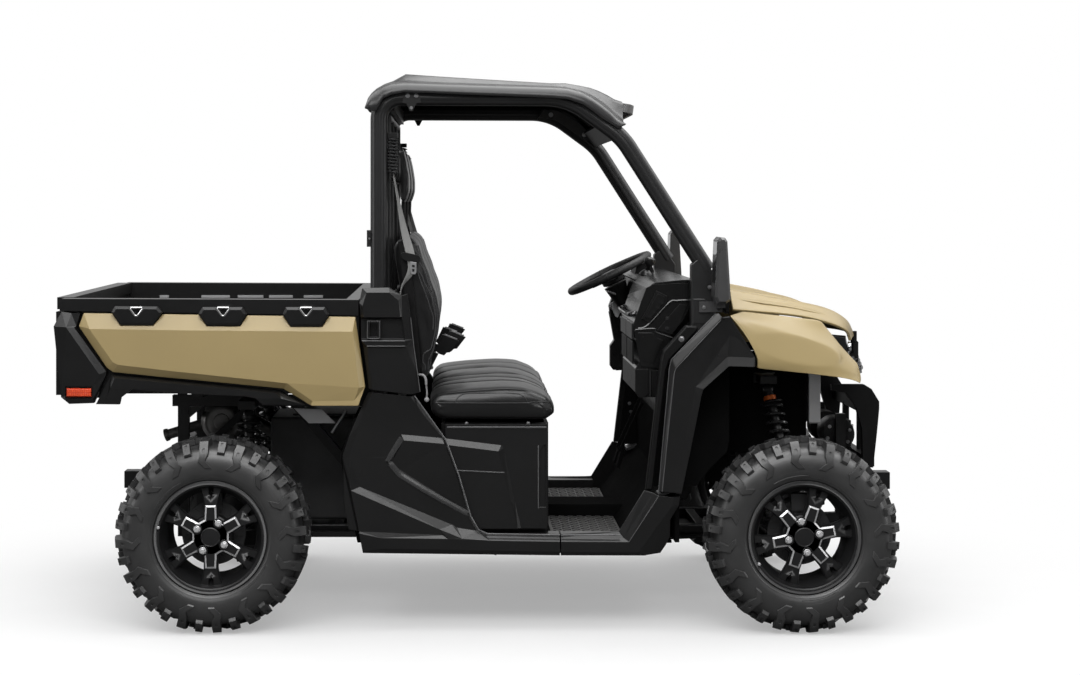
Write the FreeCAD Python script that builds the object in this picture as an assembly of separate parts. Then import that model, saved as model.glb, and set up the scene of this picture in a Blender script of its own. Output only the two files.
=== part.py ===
import FreeCAD, Part
import math
import os

# Side by side utility vehicle, bench cab with open sides, tipping cargo bed.
# Millimetres. While shapes are drawn, x = 0 is the rear axle, +x is forward, +y is the
# vehicle's left, z = 0 is the ground. Everything is shifted by X_ORIGIN at the end so that
# the origin is the middle of the footprint.

V = FreeCAD.Vector

# ---- driving dimensions -------------------------------------------------------------
WHEELBASE = 2040.0
HUB_Z = 335.0             # axle height = tyre radius
TYRE_R = 335.0
REAR_TYRE_W = 280.0
FRONT_TYRE_W = 230.0
TYRE_OUT = 807.0          # outer face of the tyres, half the overall width
RIM_R = 195.0             # rim flange radius (14 inch wheel)
KINGPIN_Y = 600.0
X_ORIGIN = 974.0
BODY_Y = 735.0            # outer face of the side bodywork
CAGE_Y = 650.0            # middle of the roll cage hoops
CAGE_R = 30.0
PIVOT_X, PIVOT_Z = -165.0, 800.0       # cargo bed pivot
GATE_X, GATE_Z = -528.0, 846.0         # tailgate hinge
HOOD_X, HOOD_Z = 2306.0, 972.0         # hood hinge at the nose
SW = (1457.0, 340.0, 1202.0)           # steering wheel centre
SW_AXIS = (-0.4363, 0.0, 0.8998)       # steering column, pointing up
STRUT_A = (360.0, 215.0, 440.0)        # lift strut, lower eye
STRUT_B = (60.0, 215.0, 775.0)        # lift strut, upper eye


# ---- helpers ------------------------------------------------------------------------
def box(x0, x1, y0, y1, z0, z1):
    return Part.makeBox(x1 - x0, y1 - y0, z1 - z0, V(x0, y0, z0))


def mir(s):
    return s.mirror(V(0, 0, 0), V(0, 1, 0))


def face_of(pts):
    return Part.Face(Part.makePolygon([V(*p) for p in pts] + [V(*pts[0])]))


def prism(pts, y0, y1):
    """polygon of (x, z) pushed along y"""
    return face_of([(x, y0, z) for x, z in pts]).extrude(V(0, y1 - y0, 0))


def prism_z(pts, z0, z1):
    return face_of([(x, y, z0) for x, y in pts]).extrude(V(0, 0, z1 - z0))


def prism_x(pts, x0, x1):
    """polygon of (y, z) pushed along x"""
    return face_of([(x0, y, z) for y, z in pts]).extrude(V(x1 - x0, 0, 0))


def cyl(p, q, r):
    p, q = V(*p), V(*q)
    d = q - p
    return Part.makeCylinder(r, d.Length, p, d)


def cone(p, q, r0, r1):
    p, q = V(*p), V(*q)
    d = q - p
    return Part.makeCone(r0, r1, d.Length, p, d)


def ring(c, axis, r_out, r_in, w):
    """ring centred on c, width w along axis"""
    a = V(*axis)
    a.normalize()
    c = V(*c) - a * (w / 2.0)
    o = Part.makeCylinder(r_out, w, c, a)
    return o.cut(Part.makeCylinder(r_in, w + 2, c - a, a))


def fuse(parts):
    s = parts[0]
    if len(parts) > 1:
        s = s.fuse(parts[1:])
    return s.removeSplitter()


def arc_path(pts, bend):
    """edges through pts with tangent arcs of radius bend at the inner points"""
    pts = [V(*p) for p in pts]
    edges, at = [], pts[0]
    for i in range(1, len(pts) - 1):
        a, b, c = pts[i - 1], pts[i], pts[i + 1]
        u, w = (a - b), (c - b)
        u.normalize()
        w.normalize()
        ang = math.acos(max(-1, min(1, u.dot(w))))
        r = bend[i - 1] if isinstance(bend, (list, tuple)) else bend
        t = r / math.tan(ang / 2.0)
        p, q = b + u * t, b + w * t
        bis = u + w
        bis.normalize()
        m = b + bis * (r / math.sin(ang / 2.0) - r)
        if (p - at).Length > 1e-6:
            edges.append(Part.LineSegment(at, p).toShape())
        edges.append(Part.Arc(p, m, q).toShape())
        at = q
    edges.append(Part.LineSegment(at, pts[-1]).toShape())
    return Part.Wire(edges)


def tube(pts, r, bend=60.0):
    """round bar along pts with bent corners"""
    if len(pts) == 2:
        return cyl(pts[0], pts[1], r)
    w = arc_path(pts, bend)
    d = V(*pts[1]) - V(*pts[0])
    prof = Part.Wire([Part.makeCircle(r, V(*pts[0]), d)])
    return w.makePipeShell([prof], True, False)


def strap(pts, w_dir, width, thick, bend=40.0):
    """flat webbing along pts"""
    w = arc_path(pts, bend) if len(pts) > 2 else Part.Wire([Part.LineSegment(V(*pts[0]), V(*pts[1])).toShape()])
    d = V(*pts[1]) - V(*pts[0])
    d.normalize()
    a = V(*w_dir)
    a = a - d * a.dot(d)
    a.normalize()
    n = d.cross(a)
    p = V(*pts[0])
    c = [p + a * (sx * width / 2) + n * (sy * thick / 2) for sx, sy in ((-1, -1), (1, -1), (1, 1), (-1, 1))]
    prof = Part.makePolygon(c + [c[0]])
    return w.makePipeShell([prof], True, False)


def slab(verts, faces, vec):
    """faceted surface given by verts (x, y, z) and index loops, thickened by vec"""
    vs = [V(*p) for p in verts]
    d = V(*vec)
    tris, count = [], {}
    for f in faces:
        for i in range(1, len(f) - 1):
            tris.append((f[0], f[i], f[i + 1]))
        for i in range(len(f)):
            e = (f[i], f[(i + 1) % len(f)])
            count[e] = count.get(e, 0) + 1
    out = []
    for a, b, c in tris:
        out.append(Part.Face(Part.makePolygon([vs[a], vs[b], vs[c], vs[a]])))
        out.append(Part.Face(Part.makePolygon([vs[a] + d, vs[c] + d, vs[b] + d, vs[a] + d])))
    for (a, b) in count:
        if (b, a) not in count:
            out.append(Part.Face(Part.makePolygon([vs[b], vs[a], vs[a] + d, vs[b] + d, vs[b]])))
    sh = Part.makeShell(out)
    if not sh.isValid():
        sh.sewShape()
    s = Part.makeSolid(sh)
    if s.Volume < 0:
        s.reverse()
    return s.removeSplitter()


def inset(pts, d):
    """polygon of 2D points moved inwards by d"""
    n = len(pts)
    area = sum(pts[i][0] * pts[(i + 1) % n][1] - pts[(i + 1) % n][0] * pts[i][1] for i in range(n))
    sg = 1.0 if area > 0 else -1.0
    out = []
    for i in range(n):
        p, c, q = pts[i - 1], pts[i], pts[(i + 1) % n]
        u = (c[0] - p[0], c[1] - p[1])
        w = (q[0] - c[0], q[1] - c[1])
        lu, lw = math.hypot(*u), math.hypot(*w)
        n1 = (-u[1] / lu * sg, u[0] / lu * sg)
        n2 = (-w[1] / lw * sg, w[0] / lw * sg)
        k = 1.0 + n1[0] * n2[0] + n1[1] * n2[1]
        out.append((c[0] + (n1[0] + n2[0]) * d / k, c[1] + (n1[1] + n2[1]) * d / k))
    return out


def loft(loops):
    ws = [Part.makePolygon([V(*p) for p in l] + [V(*l[0])]) for l in loops]
    return Part.makeLoft(ws, True, True)


def plate(pts, y_back, y_out, ins, dy):
    """moulded panel on the right side: outline pts (x, z), flat back, bevelled outer face"""
    y_mid = y_out + dy
    base = prism(pts, y_mid, y_back)
    top = loft([[(x, y_mid, z) for x, z in pts], [(x, y_out, z) for x, z in inset(pts, ins)]])
    return base.fuse(top).removeSplitter()


def band(p_list, width, y0, y1, taper=3.0):
    """raised rib along (x, z) points, from y0 (base) to y1 (crest)"""
    solids = []
    for a, b in zip(p_list[:-1], p_list[1:]):
        dx, dz = b[0] - a[0], b[1] - a[1]
        l = math.hypot(dx, dz)
        n = (-dz / l * width / 2, dx / l * width / 2)
        q = [(a[0] + n[0], a[1] + n[1]), (b[0] + n[0], b[1] + n[1]), (b[0] - n[0], b[1] - n[1]), (a[0] - n[0], a[1] - n[1])]
        solids.append(loft([[(x, y0, z) for x, z in q], [(x, y1, z) for x, z in inset(q, taper)]]))
    return solids


def ears(pts):
    """triangles (index triples) of a simple polygon given by 2D points"""
    idx = list(range(len(pts)))
    area = sum(pts[i][0] * pts[(i + 1) % len(pts)][1] - pts[(i + 1) % len(pts)][0] * pts[i][1] for i in idx)
    if area < 0:
        idx.reverse()

    def cr(a, b, c):
        return (b[0] - a[0]) * (c[1] - a[1]) - (b[1] - a[1]) * (c[0] - a[0])
    out = []
    while len(idx) > 3:
        best, at = -1.0, None
        n = len(idx)
        for k in range(n):
            a, b, c = pts[idx[k - 1]], pts[idx[k]], pts[idx[(k + 1) % n]]
            s = cr(a, b, c)
            if s <= 1e-6:
                continue
            if any(cr(a, b, pts[j]) >= -1e-6 and cr(b, c, pts[j]) >= -1e-6 and cr(c, a, pts[j]) >= -1e-6
                   for j in idx if pts[j] not in (a, b, c)):
                continue
            l = max(math.dist(a, b), math.dist(b, c), math.dist(c, a))
            q = s / (l * l)
            if q > best:
                best, at = q, k
        if at is None:
            raise RuntimeError("no ear left in %s" % [pts[i] for i in idx])
        out.append((idx[at - 1], idx[at], idx[(at + 1) % n]))
        idx.pop(at)
    out.append(tuple(idx))
    return out


def relief(p, faces, y_back, y_face=-BODY_Y):
    """moulded panel on the right side: p maps names to (x, z, depth below y_face),
    faces lists facets by names, the back is flat at y_back"""
    pos = {k: V(x, y_face + d, z) for k, (x, z, d) in p.items()}
    flat = {k: (x, z) for k, (x, z, d) in p.items()}
    tris = []
    used = sorted(set(n for f in faces for n in f.split()))
    for f in faces:
        names = f.split()
        loop = []
        for i, a in enumerate(names):
            b = names[(i + 1) % len(names)]
            (ax, az), (bx, bz) = flat[a], flat[b]
            l = math.hypot(bx - ax, bz - az)
            on = []
            for k in used:
                if k in (a, b):
                    continue
                t = ((flat[k][0] - ax) * (bx - ax) + (flat[k][1] - az) * (bz - az)) / (l * l)
                if 0.001 < t < 0.999 and abs((flat[k][0] - ax) * (bz - az) - (flat[k][1] - az) * (bx - ax)) / l < 0.05:
                    on.append((t, k))
            loop += [a] + [k for t, k in sorted(on)]
        for a, b, c in ears([flat[k] for k in loop]):
            tris.append((loop[a], loop[b], loop[c]))
    count = {}
    out = []
    for t in tris:
        out.append(Part.Face(Part.makePolygon([pos[t[0]], pos[t[1]], pos[t[2]], pos[t[0]]])))
        for i in range(3):
            e = (t[i], t[(i + 1) % 3])
            if e in count:
                raise RuntimeError("facets overlap at %s %s" % e)
            count[e] = 1
    nxt = {}
    for a, b in count:
        if (b, a) not in count:
            if a in nxt:
                raise RuntimeError("outline branches at " + a)
            nxt[a] = b
    back = {k: V(pos[k].x, y_back, pos[k].z) for k in used}
    while nxt:
        start = k = next(iter(nxt))
        ring_ = []
        while k in nxt:
            n = nxt.pop(k)
            ring_.append(k)
            if (pos[k] - back[k]).Length > 1e-6 or (pos[n] - back[n]).Length > 1e-6:
                out.append(Part.Face(Part.makePolygon([pos[k], pos[n], back[n], back[k], pos[k]])))
            k = n
        if k != start:
            raise RuntimeError("open outline at " + k)
        out.append(Part.Face(Part.makePolygon([back[n] for n in ring_] + [back[start]])))
    sh = Part.makeShell(out)
    if not sh.isValid() or not sh.isClosed():
        sh.sewShape()
    s = Part.makeSolid(sh)
    if s.Volume < 0:
        s.reverse()
    return s.removeSplitter()


NODES = {}


def node(name, *shapes):
    solids = []
    for s in shapes:
        if s.isNull() or not s.Solids:
            raise RuntimeError("empty solid in " + name)
        solids += s.Solids
    NODES[name] = solids


# ---- frame --------------------------------------------------------------------------
def build_frame():
    rails, cross, rear, front, hitch = [], [], [], [], []

    def pb(s, x0, x1, y0, y1, z0, z1):
        return box(x0, x1, min(s * y0, s * y1), max(s * y0, s * y1), z0, z1)

    def pp(s, pts, y0, y1):
        return prism(pts, min(s * y0, s * y1), max(s * y0, s * y1))
    for s in (-1, 1):
        r = [pb(s, -180, 2180, 180, 220, 256, 288)]                # bottom rail
        r += [pb(s, x, x + 40, 220, 640, 256, 288) for x in (560, 1180, 1500)]   # outriggers
        rail = fuse(r)
        rails.append(rail)
        b = [pb(s, -180, -140, 220.5, 290, 256, 288),
             pb(s, -180, -140, 250, 290, 256, 775),                # rear post
             pb(s, -200, 540, 250, 290, 735, 775),                 # bed support rail
             pb(s, 500, 540, 220.5, 290, 256, 288),
             pb(s, 500, 540, 250, 290, 256, 775),                  # front post of the engine bay
             cyl((PIVOT_X, s * 252, PIVOT_Z), (PIVOT_X, s * 288, PIVOT_Z), 16.5),   # bed pivot ear
             pb(s, PIVOT_X - 16, PIVOT_X + 16, 252, 288, 770, PIVOT_Z),
             pb(s, 58, 118, 290, 445, 738, 768),                   # rear shock mount
             pp(s, [(232, 740), (275, 740), (520, 455), (520, 400)], 255, 285),
             pp(s, [(-145, 540), (-145, 505), (110, 740), (72, 740)], 255, 285)]
        for x in (-82.5, 80):
            b.append(pb(s, x, x + 22.5, 220.5, 250, 256, 500))     # rear arm brackets
            b.append(pb(s, x, x + 22.5, 180, 222, 470, 500))
        if s > 0:
            b += [box(345, 375, 220.5, 244, 256, 288), box(345, 375, 232, 244, 256, 455),
                  cyl((STRUT_A[0], 203, STRUT_A[2]), (STRUT_A[0], 235, STRUT_A[2]), 5.0)]
        b = fuse(b)
        b = b.fuse([pb(s, -150, 510, 262, 278, 256, 271)]).removeSplitter()      # tie along the bottom
        if s > 0:
            b = b.fuse([box(345, 375, 220.5, 265, 257, 270)]).removeSplitter()
        b = b.cut(cyl((PIVOT_X, s * 240, PIVOT_Z), (PIVOT_X, s * 300, PIVOT_Z), 8.3))
        rear.append(b)
        f = [pb(s, 1885, 1920, 195, 235, 288, 850),                # front tower
             pb(s, 2100, 2135, 195, 235, 288, 850),
             pb(s, 1885, 2135, 195, 235, 815, 850),
             pb(s, 1955, 2015, 235, 350, 822, 850),                # front shock mount
             pb(s, 2135, 2290, 195, 225, 520, 550),                # bumper stubs
             pb(s, 2255, 2290, 195, 225, 300, 700),
             pb(s, 1600, 1640, 195, 235, 288, 985),                # dash upright
             pp(s, [(2135, 288.5), (2181, 288.5), (2181, 262), (2290, 300), (2290, 335), (2170, 330), (2135, 330)], 195, 225),
             pp(s, [(1636, 985), (1636, 940), (1890, 815), (1890, 850)], 200, 230)]
        front.append(fuse(f))
    for x in (-140, 120, 390, 660, 930, 1200, 1470, 1740, 1970):
        cross.append(box(x, x + 34, -179.5, 179.5, 258, 286))
    for x in (-180, 500):
        cross.append(box(x, x + 40, -249.5, 249.5, 688, 723))
    cross.append(box(240, 499, -249.5, 249.5, 696, 703))      # shield over the engine
    cross.append(box(1885, 1920, -194.5, 194.5, 815, 848))
    cross.append(box(2105, 2130, -194.5, 194.5, 600, 630))
    cross.append(box(2100, 2130, -194.5, 194.5, 360, 395))
    node("frame_rails", *rails)
    node("frame_crossmembers", *cross)
    node("rear_frame", *rear)
    node("front_frame", *front)
    # receivers: square tubes with their plates
    hf = fuse([box(2255, 2275, -194.5, 194.5, 380, 500), box(2200, 2497, -32, 32, 393, 457)])
    hf = hf.cut(box(2290, 2510, -25.5, 25.5, 399.5, 450.5)).cut(cyl((2437, -60, 425), (2437, 60, 425), 8.0))
    hr = fuse([box(-178, -150, -249.5, 249.5, 380, 480), box(-420, -160, -32, 32, 397, 461)])
    hr = hr.cut(box(-430, -200, -25.5, 25.5, 403.5, 454.5)).cut(cyl((-360, -60, 429), (-360, 60, 429), 8.0))
    node("hitch_receivers", hf.removeSplitter(), hr.removeSplitter())
    # belly plate
    pts = [(-120, -260), (520, -260), (620, -560), (1460, -560), (1560, -330), (1900, -240), (1900, 240), (1560, 330), (1460, 560), (620, 560), (520, 260), (-120, 260)]
    node("skid_plate", prism_z(pts, 248, 255))


# ---- roll cage ----------------------------------------------------------------------
def build_cage():
    y = -CAGE_Y
    path = [(574, y, 560), (574, y, 1854), (1235, y, 1852), (1425, y, 1712), (1722, y, 1247)]
    hoop = tube(path, CAGE_R, [78, 240, 240])
    # boxed foot of the front pillar
    foot = prism([(1664, 1268), (1700, 1300), (1752, 1228), (1748, 1040), (1664, 1040)], y - 27, y + 27)
    base = box(544, 604, y - 30, y + 30, 540, 575)
    foot2 = box(1640, 1752, y - 27, y + 27, 1020, 1050)
    hoop = fuse([hoop, foot, base, foot2])
    node("cage_hoop_right", hoop)
    node("cage_hoop_left", mir(hoop))
    a = CAGE_Y - CAGE_R - 0.5
    rear = box(568, 628, -a, a, 1806, 1860)
    mid = cyl((574, -a, 1560), (574, a, 1560), 19)
    low = cyl((574, -a, 1150), (574, a, 1150), 19)
    front = prism([(1372, 1768), (1392, 1790), (1440, 1732), (1418, 1712)], -a, a)
    cowl = cyl((1700, -a, 1120), (1700, a, 1120), 19)
    node("cage_cross_tubes", rear, mid, low, front, cowl)


# ---- roof ---------------------------------------------------------------------------
def build_roof():
    # cross sections along x: (x, z_edge_low, z_edge_top, z_crown, half width)
    st = [(522, 1800, 1826, 1834, 690), (548, 1850, 1876, 1888, 700), (610, 1885, 1905, 1932, 704), (700, 1888, 1906, 1940, 706),
          (1240, 1884, 1898, 1912, 702), (1330, 1855, 1874, 1890, 696), (1420, 1768, 1802, 1850, 690), (1452, 1738, 1768, 1836, 684)]
    outer, inner = [], []
    for x, zl, zt, zc, w in st:
        outer.append([(x, -w, zl), (x, -w + 12, zt - 4), (x, -w + 60, zt + 4), (x, -w + 150, zc - 6), (x, -w + 250, zc), (x, w - 250, zc), (x, w - 150, zc - 6), (x, w - 60, zt + 4), (x, w - 12, zt - 4), (x, w, zl)])
        inner.append([(x, -w + 9, zl), (x, -w + 20, zt - 13), (x, -w + 64, zt - 6), (x, -w + 152, zc - 17), (x, -w + 252, zc - 11), (x, w - 252, zc - 11), (x, w - 152, zc - 17), (x, w - 64, zt - 6), (x, w - 20, zt - 13), (x, w - 9, zl)])
    loops = [o + i[::-1] for o, i in zip(outer, inner)]
    roof = skin(loops)
    visor = prism_z([(1400, -470), (1488, -440), (1520, -330), (1520, 330), (1488, 440), (1400, 470)], 1806, 1834)
    cutv = slabbed_cut()
    roof = roof.fuse(visor.cut(cutv)).removeSplitter()
    node("roof", roof)


def slabbed_cut():
    return prism([(1380, 1790), (1380, 1822), (1440, 1812), (1470, 1790)], -500, 500)


def skin(loops):
    """closed solid through equal-length loops, faceted by triangles"""
    faces = []
    n = len(loops[0])
    L = [[V(*p) for p in l] for l in loops]

    def tri(a, b, c):
        if (b - a).cross(c - a).Length > 1e-6:
            faces.append(Part.Face(Part.makePolygon([a, b, c, a])))
    for i in range(len(L) - 1):
        for j in range(n):
            k = (j + 1) % n
            tri(L[i][j], L[i][k], L[i + 1][k])
            tri(L[i][j], L[i + 1][k], L[i + 1][j])
    for l, rev in ((L[0], False), (L[-1], True)):
        m = n // 2
        for j in range(m - 1):
            a, b, c, d = l[j], l[j + 1], l[n - 2 - j], l[n - 1 - j]
            tri(a, b, c)
            tri(a, c, d)
    sh = Part.makeShell(faces)
    sh.sewShape()
    s = Part.makeSolid(sh)
    if s.Volume < 0:
        s.reverse()
    return s


# ---- wheels -------------------------------------------------------------------------
def revolve_y(pts, x, z):
    """closed profile of (y, r) turned about the wheel axis"""
    f = face_of([(x, y, z + r) for y, r in pts])
    return f.revolve(V(x, 0, z), V(0, 1, 0), 360)


def tyre_profile(w):
    """carcass and tread blocks as one outline, (offset from centre plane, radius)"""
    h = w / 2.0
    out = [(-h + 26.4, 178.4), (-h + 21.2, 196), (-h + 6, 206), (-h, 240), (-h + 2, 276), (-h + 14, 312), (-h + 34, 330), (-h + 62, TYRE_R)]
    t = [(y, r) for y, r in out]
    right = [(-y, r) for y, r in reversed(out)]
    inn = [(-h + 44, 178.4), (-h + 38, 192), (-h + 22, 213), (-h + 14, 240), (-h + 18, 272), (-h + 32, 300), (-h + 64, 313)]
    inn_r = [(-y, r) for y, r in inn]
    return t + right + inn_r + list(reversed(inn))


def build_wheel(tag, x, yc, w, side):
    """side -1 is the right of the vehicle"""
    tyre = revolve_y([(yc + y, r) for y, r in tyre_profile(w)], x, HUB_Z)
    node("tyre_" + tag, tyre)
    h = w / 2.0
    s = side
    o = yc + s * (h - 14)          # outer flange plane
    i = yc - s * (h - 14)          # inner flange plane

    def yy(a):                     # distance a inwards from the outer flange
        return o - s * a
    span = abs(o - i)
    prof = [(yy(0), 195), (yy(7), 195), (yy(12), 178), (yy(34), 178), (yy(52), 160), (yy(span - 52), 160), (yy(span - 34), 178), (yy(span - 12), 178), (yy(span - 7), 195), (yy(span), 195),
            (yy(span), 186), (yy(span - 8), 170), (yy(span - 34), 170), (yy(span - 52), 152), (yy(54), 152), (yy(36), 170), (yy(6), 172)]
    barrel = revolve_y(prof, x, HUB_Z)
    parts = [barrel]
    hubz = HUB_Z
    dd = 52.0                       # spokes' inner plane, from the outer flange
    for k in range(6):
        a = math.radians(60 * k + 90)
        ca, sa = math.cos(a), math.sin(a)
        # spoke: wedge from the hub to the barrel
        pts = []
        for r, half in ((40, 24), (120, 24), (172, 42)):
            pts.append((x + r * ca - half * sa, hubz + r * sa + half * ca))
        for r, half in ((172, -42), (120, -24), (40, -24)):
            pts.append((x + r * ca - half * sa, hubz + r * sa + half * ca))
        y0, y1 = yy(14), yy(dd)
        parts.append(prism(pts, min(y0, y1), max(y0, y1)))
    y0, y1 = yy(16), yy(dd + 22)
    parts.append(cyl((x, min(y0, y1), hubz), (x, max(y0, y1), hubz), 76))
    parts.append(cyl((x, yy(6), hubz), (x, yy(20), hubz), 30))
    rim = fuse(parts)
    # brake disc on its hub bell
    yd = yy(dd + 22 + 42)
    bell = cyl((x, yy(dd + 22.3), hubz), (x, yd, hubz), 60)
    disc = cyl((x, yd - 3, hubz), (x, yd + 3, hubz), 112)
    hole = cyl((x, yy(dd + 26), hubz), (x, yd - s * 10, hubz), 50)
    node("rim_" + tag, rim, fuse([bell, disc]).cut(hole))
    return yd


# ---- suspension ---------------------------------------------------------------------
def arm(inner_a, inner_b, outer, r=13.0, eye=17.0, brace=0.55):
    parts = [cyl(inner_a, outer, r), cyl(inner_b, outer, r)]
    ia, ib = V(*inner_a), V(*inner_b)
    d = ib - ia
    d.normalize()
    for c in (ia, ib):
        parts.append(Part.makeCylinder(eye, 44, c - d * 22, d))
    parts.append(cyl((outer[0], outer[1], outer[2] - 16), (outer[0], outer[1], outer[2] + 16), 20))
    m = (V(*inner_a) * (1 - brace) + V(*outer) * brace)
    n = (V(*inner_b) * (1 - brace) + V(*outer) * brace)
    parts.append(Part.makeCylinder(10, (n - m).Length, m, n - m))
    return fuse(parts)


def build_suspension():
    # front arms, right side
    lo = arm((1925, -258, 305), (2150, -258, 305), (WHEELBASE, -594, 238))
    up = arm((1930, -258, 500), (2140, -258, 500), (WHEELBASE, -590, 458), brace=0.74)
    brk = [box(1905, 1945, -258, -236.5, 285, 325), box(2130, 2170, -258, -236.5, 285, 325)]
    brace = box(2058, 2122, -486, -454, 258, 287)
    lo = lo.fuse(brace).removeSplitter()
    rod = fuse([cyl((1958, -232, 400), (1958, -560, 379), 8), cyl((1958, -560, 371), (1958, -560, 387), 17)])
    arms = [lo, up, mir(lo), mir(up)]
    rack = cyl((1958, -233, 400), (1958, 233, 400), 24)
    node("steering_rack", fuse([rack, rod, mir(rod)]))
    # rear arms
    lo = arm((-105, -238, 300), (125, -238, 300), (0, -532, 240)).fuse(box(20, 130, -470, -430, 255, 306)).removeSplitter()
    up = arm((-105, -238, 470), (125, -238, 470), (0, -532, 450))
    node("suspension_arms", *(arms + [lo, up, mir(lo), mir(up)]))
    # shocks: damper body, spring envelope and rod
    def shock(top, bot, r):
        t, b = V(*top), V(*bot)
        d = b - t
        L = d.Length
        d.normalize()
        parts = [Part.makeCylinder(r, L * 0.46, t + d * (L * 0.09), d), Part.makeCylinder(24, L * 0.1, t + d * 12, d), Part.makeCylinder(12, L - 30, t + d * 15, d)]
        for c in (t, b):
            parts.append(Part.makeCylinder(17, 34, c - V(17, 0, 0), V(1, 0, 0)))
        return fuse(parts)
    fs = shock((1985, -322, 800), (2090, -470, 305), 42)
    rs = shock((92, -392, 718), (108, -450, 324), 46)
    node("shock_absorbers", fs, mir(fs), rs, mir(rs))


def caliper(x):
    """brake caliper over the top of the disc, right side"""
    c = box(x - 30, x + 30, -694, -660, HUB_Z + 78, HUB_Z + 136)
    return c.cut(cyl((x, -684, HUB_Z), (x, -670, HUB_Z), 117))


def build_knuckles(yd_f, yd_r):
    # front upright, turns about the kingpin
    x = WHEELBASE
    y = -KINGPIN_Y
    k = [cyl((x, -572, HUB_Z), (x, -640, HUB_Z), 42),
         box(x - 16, x + 16, -622, -596, HUB_Z - 76, HUB_Z + 102),
         box(x - 16, x + 16, -622, -578, HUB_Z + 88, HUB_Z + 102),
         box(x - 16, x + 16, -622, -578, HUB_Z - 76, HUB_Z - 62),
         cyl((x, -638, HUB_Z), (x, -711, HUB_Z), 22),
         caliper(x),
         box(x - 14, x + 14, -664, -620, HUB_Z + 80, HUB_Z + 102),
         cyl((x, y, HUB_Z - 80), (x, y, HUB_Z - 60), 12), cyl((x, y, HUB_Z + 90), (x, y, HUB_Z + 106), 12),
         prism_z([(x - 98, -545), (x - 98, -572), (x - 20, -606), (x - 10, -584)], 340, 360)]
    kn = fuse(k)
    node("front_knuckle_right", kn)
    node("front_knuckle_left", mir(kn))
    x = 0.0
    r = [cyl((x, -512, HUB_Z), (x, -585, HUB_Z), 44),
         box(x - 18, x + 18, -585, -556, HUB_Z - 76, HUB_Z + 96),
         box(x - 18, x + 18, -585, -514, HUB_Z + 82 + 52 - 2, HUB_Z + 146),
         box(x - 18, x + 18, -585, -560, HUB_Z + 90, HUB_Z + 146),
         box(x - 18, x + 18, -585, -514, HUB_Z - 76, HUB_Z - 62 - 0),
         cyl((x, -580, HUB_Z), (x, -711, HUB_Z), 22),
         caliper(x),
         box(x - 14, x + 14, -664, -583, HUB_Z + 80, HUB_Z + 96)]
    r = fuse(r)
    node("rear_knuckles", r, mir(r))
    # drive shafts with rubber boots
    def shaft(xx, y_in, y_out):
        return fuse([cyl((xx, -y_in, HUB_Z), (xx, -y_out, HUB_Z), 13),
                     cone((xx, -y_in, HUB_Z), (xx, -y_in - 70, HUB_Z), 46, 20),
                     cone((xx, -y_out + 66, HUB_Z), (xx, -y_out, HUB_Z), 18, 40)])
    f = shaft(WHEELBASE, 120, 520)
    rr = shaft(0, 120, 508)
    node("driveline", f, mir(f), rr, mir(rr), fuse([box(1988, 2096, -110, 110, 296, 420), cyl((2040, -118, HUB_Z), (2040, 118, HUB_Z), 44)]), fuse([box(-90, 100, -110, 110, 296, 430), cyl((0, -118, HUB_Z), (0, 118, HUB_Z), 55)]))


def build_drive():
    node("engine_block", box(150, 480, -165, 165, 300, 680))
    c = (-26, 672)
    m = [cyl((c[0], -228, c[1]), (c[0], 228, c[1]), 77), cyl((c[0] + 20, 100, c[1]), (200, 100, 560), 24), cyl((c[0] - 50, -140, c[1] - 10), (-250, -140, 610), 22)]
    node("exhaust_muffler", fuse(m).cut(box(149.5, 600, -300, 300, 200, 700)))
    rad = box(2144, 2182, -292, 292, 672, 900)
    node("radiator", fuse([rad, cyl((2100, 0, 786), (2146, 0, 786), 96)]))
    w = [cyl((2272, -180, 620), (2272, -60, 620), 60), cyl((2272, 60, 620), (2272, 150, 620), 60), cyl((2272, -62, 620), (2272, 62, 620), 32), box(2215, 2326, -150, 150, 554, 568)]
    w.append(box(2318, 2331, -120, 120, 563, 664))
    wn = fuse(w).cut(box(2300, 2350, -75, 75, 600, 640))
    node("winch", wn)


# ---- lower body ---------------------------------------------------------------------
SIDE = {
    "a0": (538, 825, 30), "c0": (555, 826, 18), "a2": (686, 811, 18), "a3": (699, 818, 28),
    "e1": (505, 751, 28), "e2": (472, 672, 26), "e3": (452, 612, 24), "e4": (450, 600, 24),
    "c1": (510, 718, 18), "c2": (476, 621, 18), "c3": (474, 601, 18), "c4": (510, 499, 18),
    "b4": (479, 488, 6), "b5": (508, 347, 6), "g1": (452, 567, 31), "g2": (455, 436, 31), "g3": (471, 349, 31), "g4": (500, 346, 24),
    "l1": (736, 741, 18), "l2": (798, 668, 18), "l3": (803, 649, 9), "l4": (846, 538, 14), "l5": (883, 412, 25), "l6": (887, 398, 18), "l7": (915, 347, 18), "l8": (949, 330, 15), "l9": (1203, 324, 12),
    "r1": (738, 762, 29), "r2": (808, 664, 29), "r3": (853, 541, 29), "r4": (894, 400, 29), "r5": (921, 353, 29), "r6": (952, 338, 29), "r9": (1203, 334, 29),
    "h0": (653, 681, 18), "h1": (604, 604, 18), "h2": (605, 596, 18), "h3": (634, 542, 18),
    "i0": (664, 661, 9), "i2": (628, 598, 19), "i3": (651, 557, 25),
    "t1": (830, 368, 18), "t2": (847, 358, 18), "u1": (787, 353, 6), "u2": (864, 323, 1),
    "s1": (515, 346, 6), "s2": (797, 334, 6), "s3": (508, 339, 3), "s4": (583, 324, 0), "s5": (818, 321, 0),
    "m1": (520, 277, 6), "m2": (598, 288, 0), "m3": (1203, 277, 0), "n1": (521, 271, 10), "n3": (1203, 263, 9),
    "v1": (958, 316, 0), "v2": (1203, 312, 0)}
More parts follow.
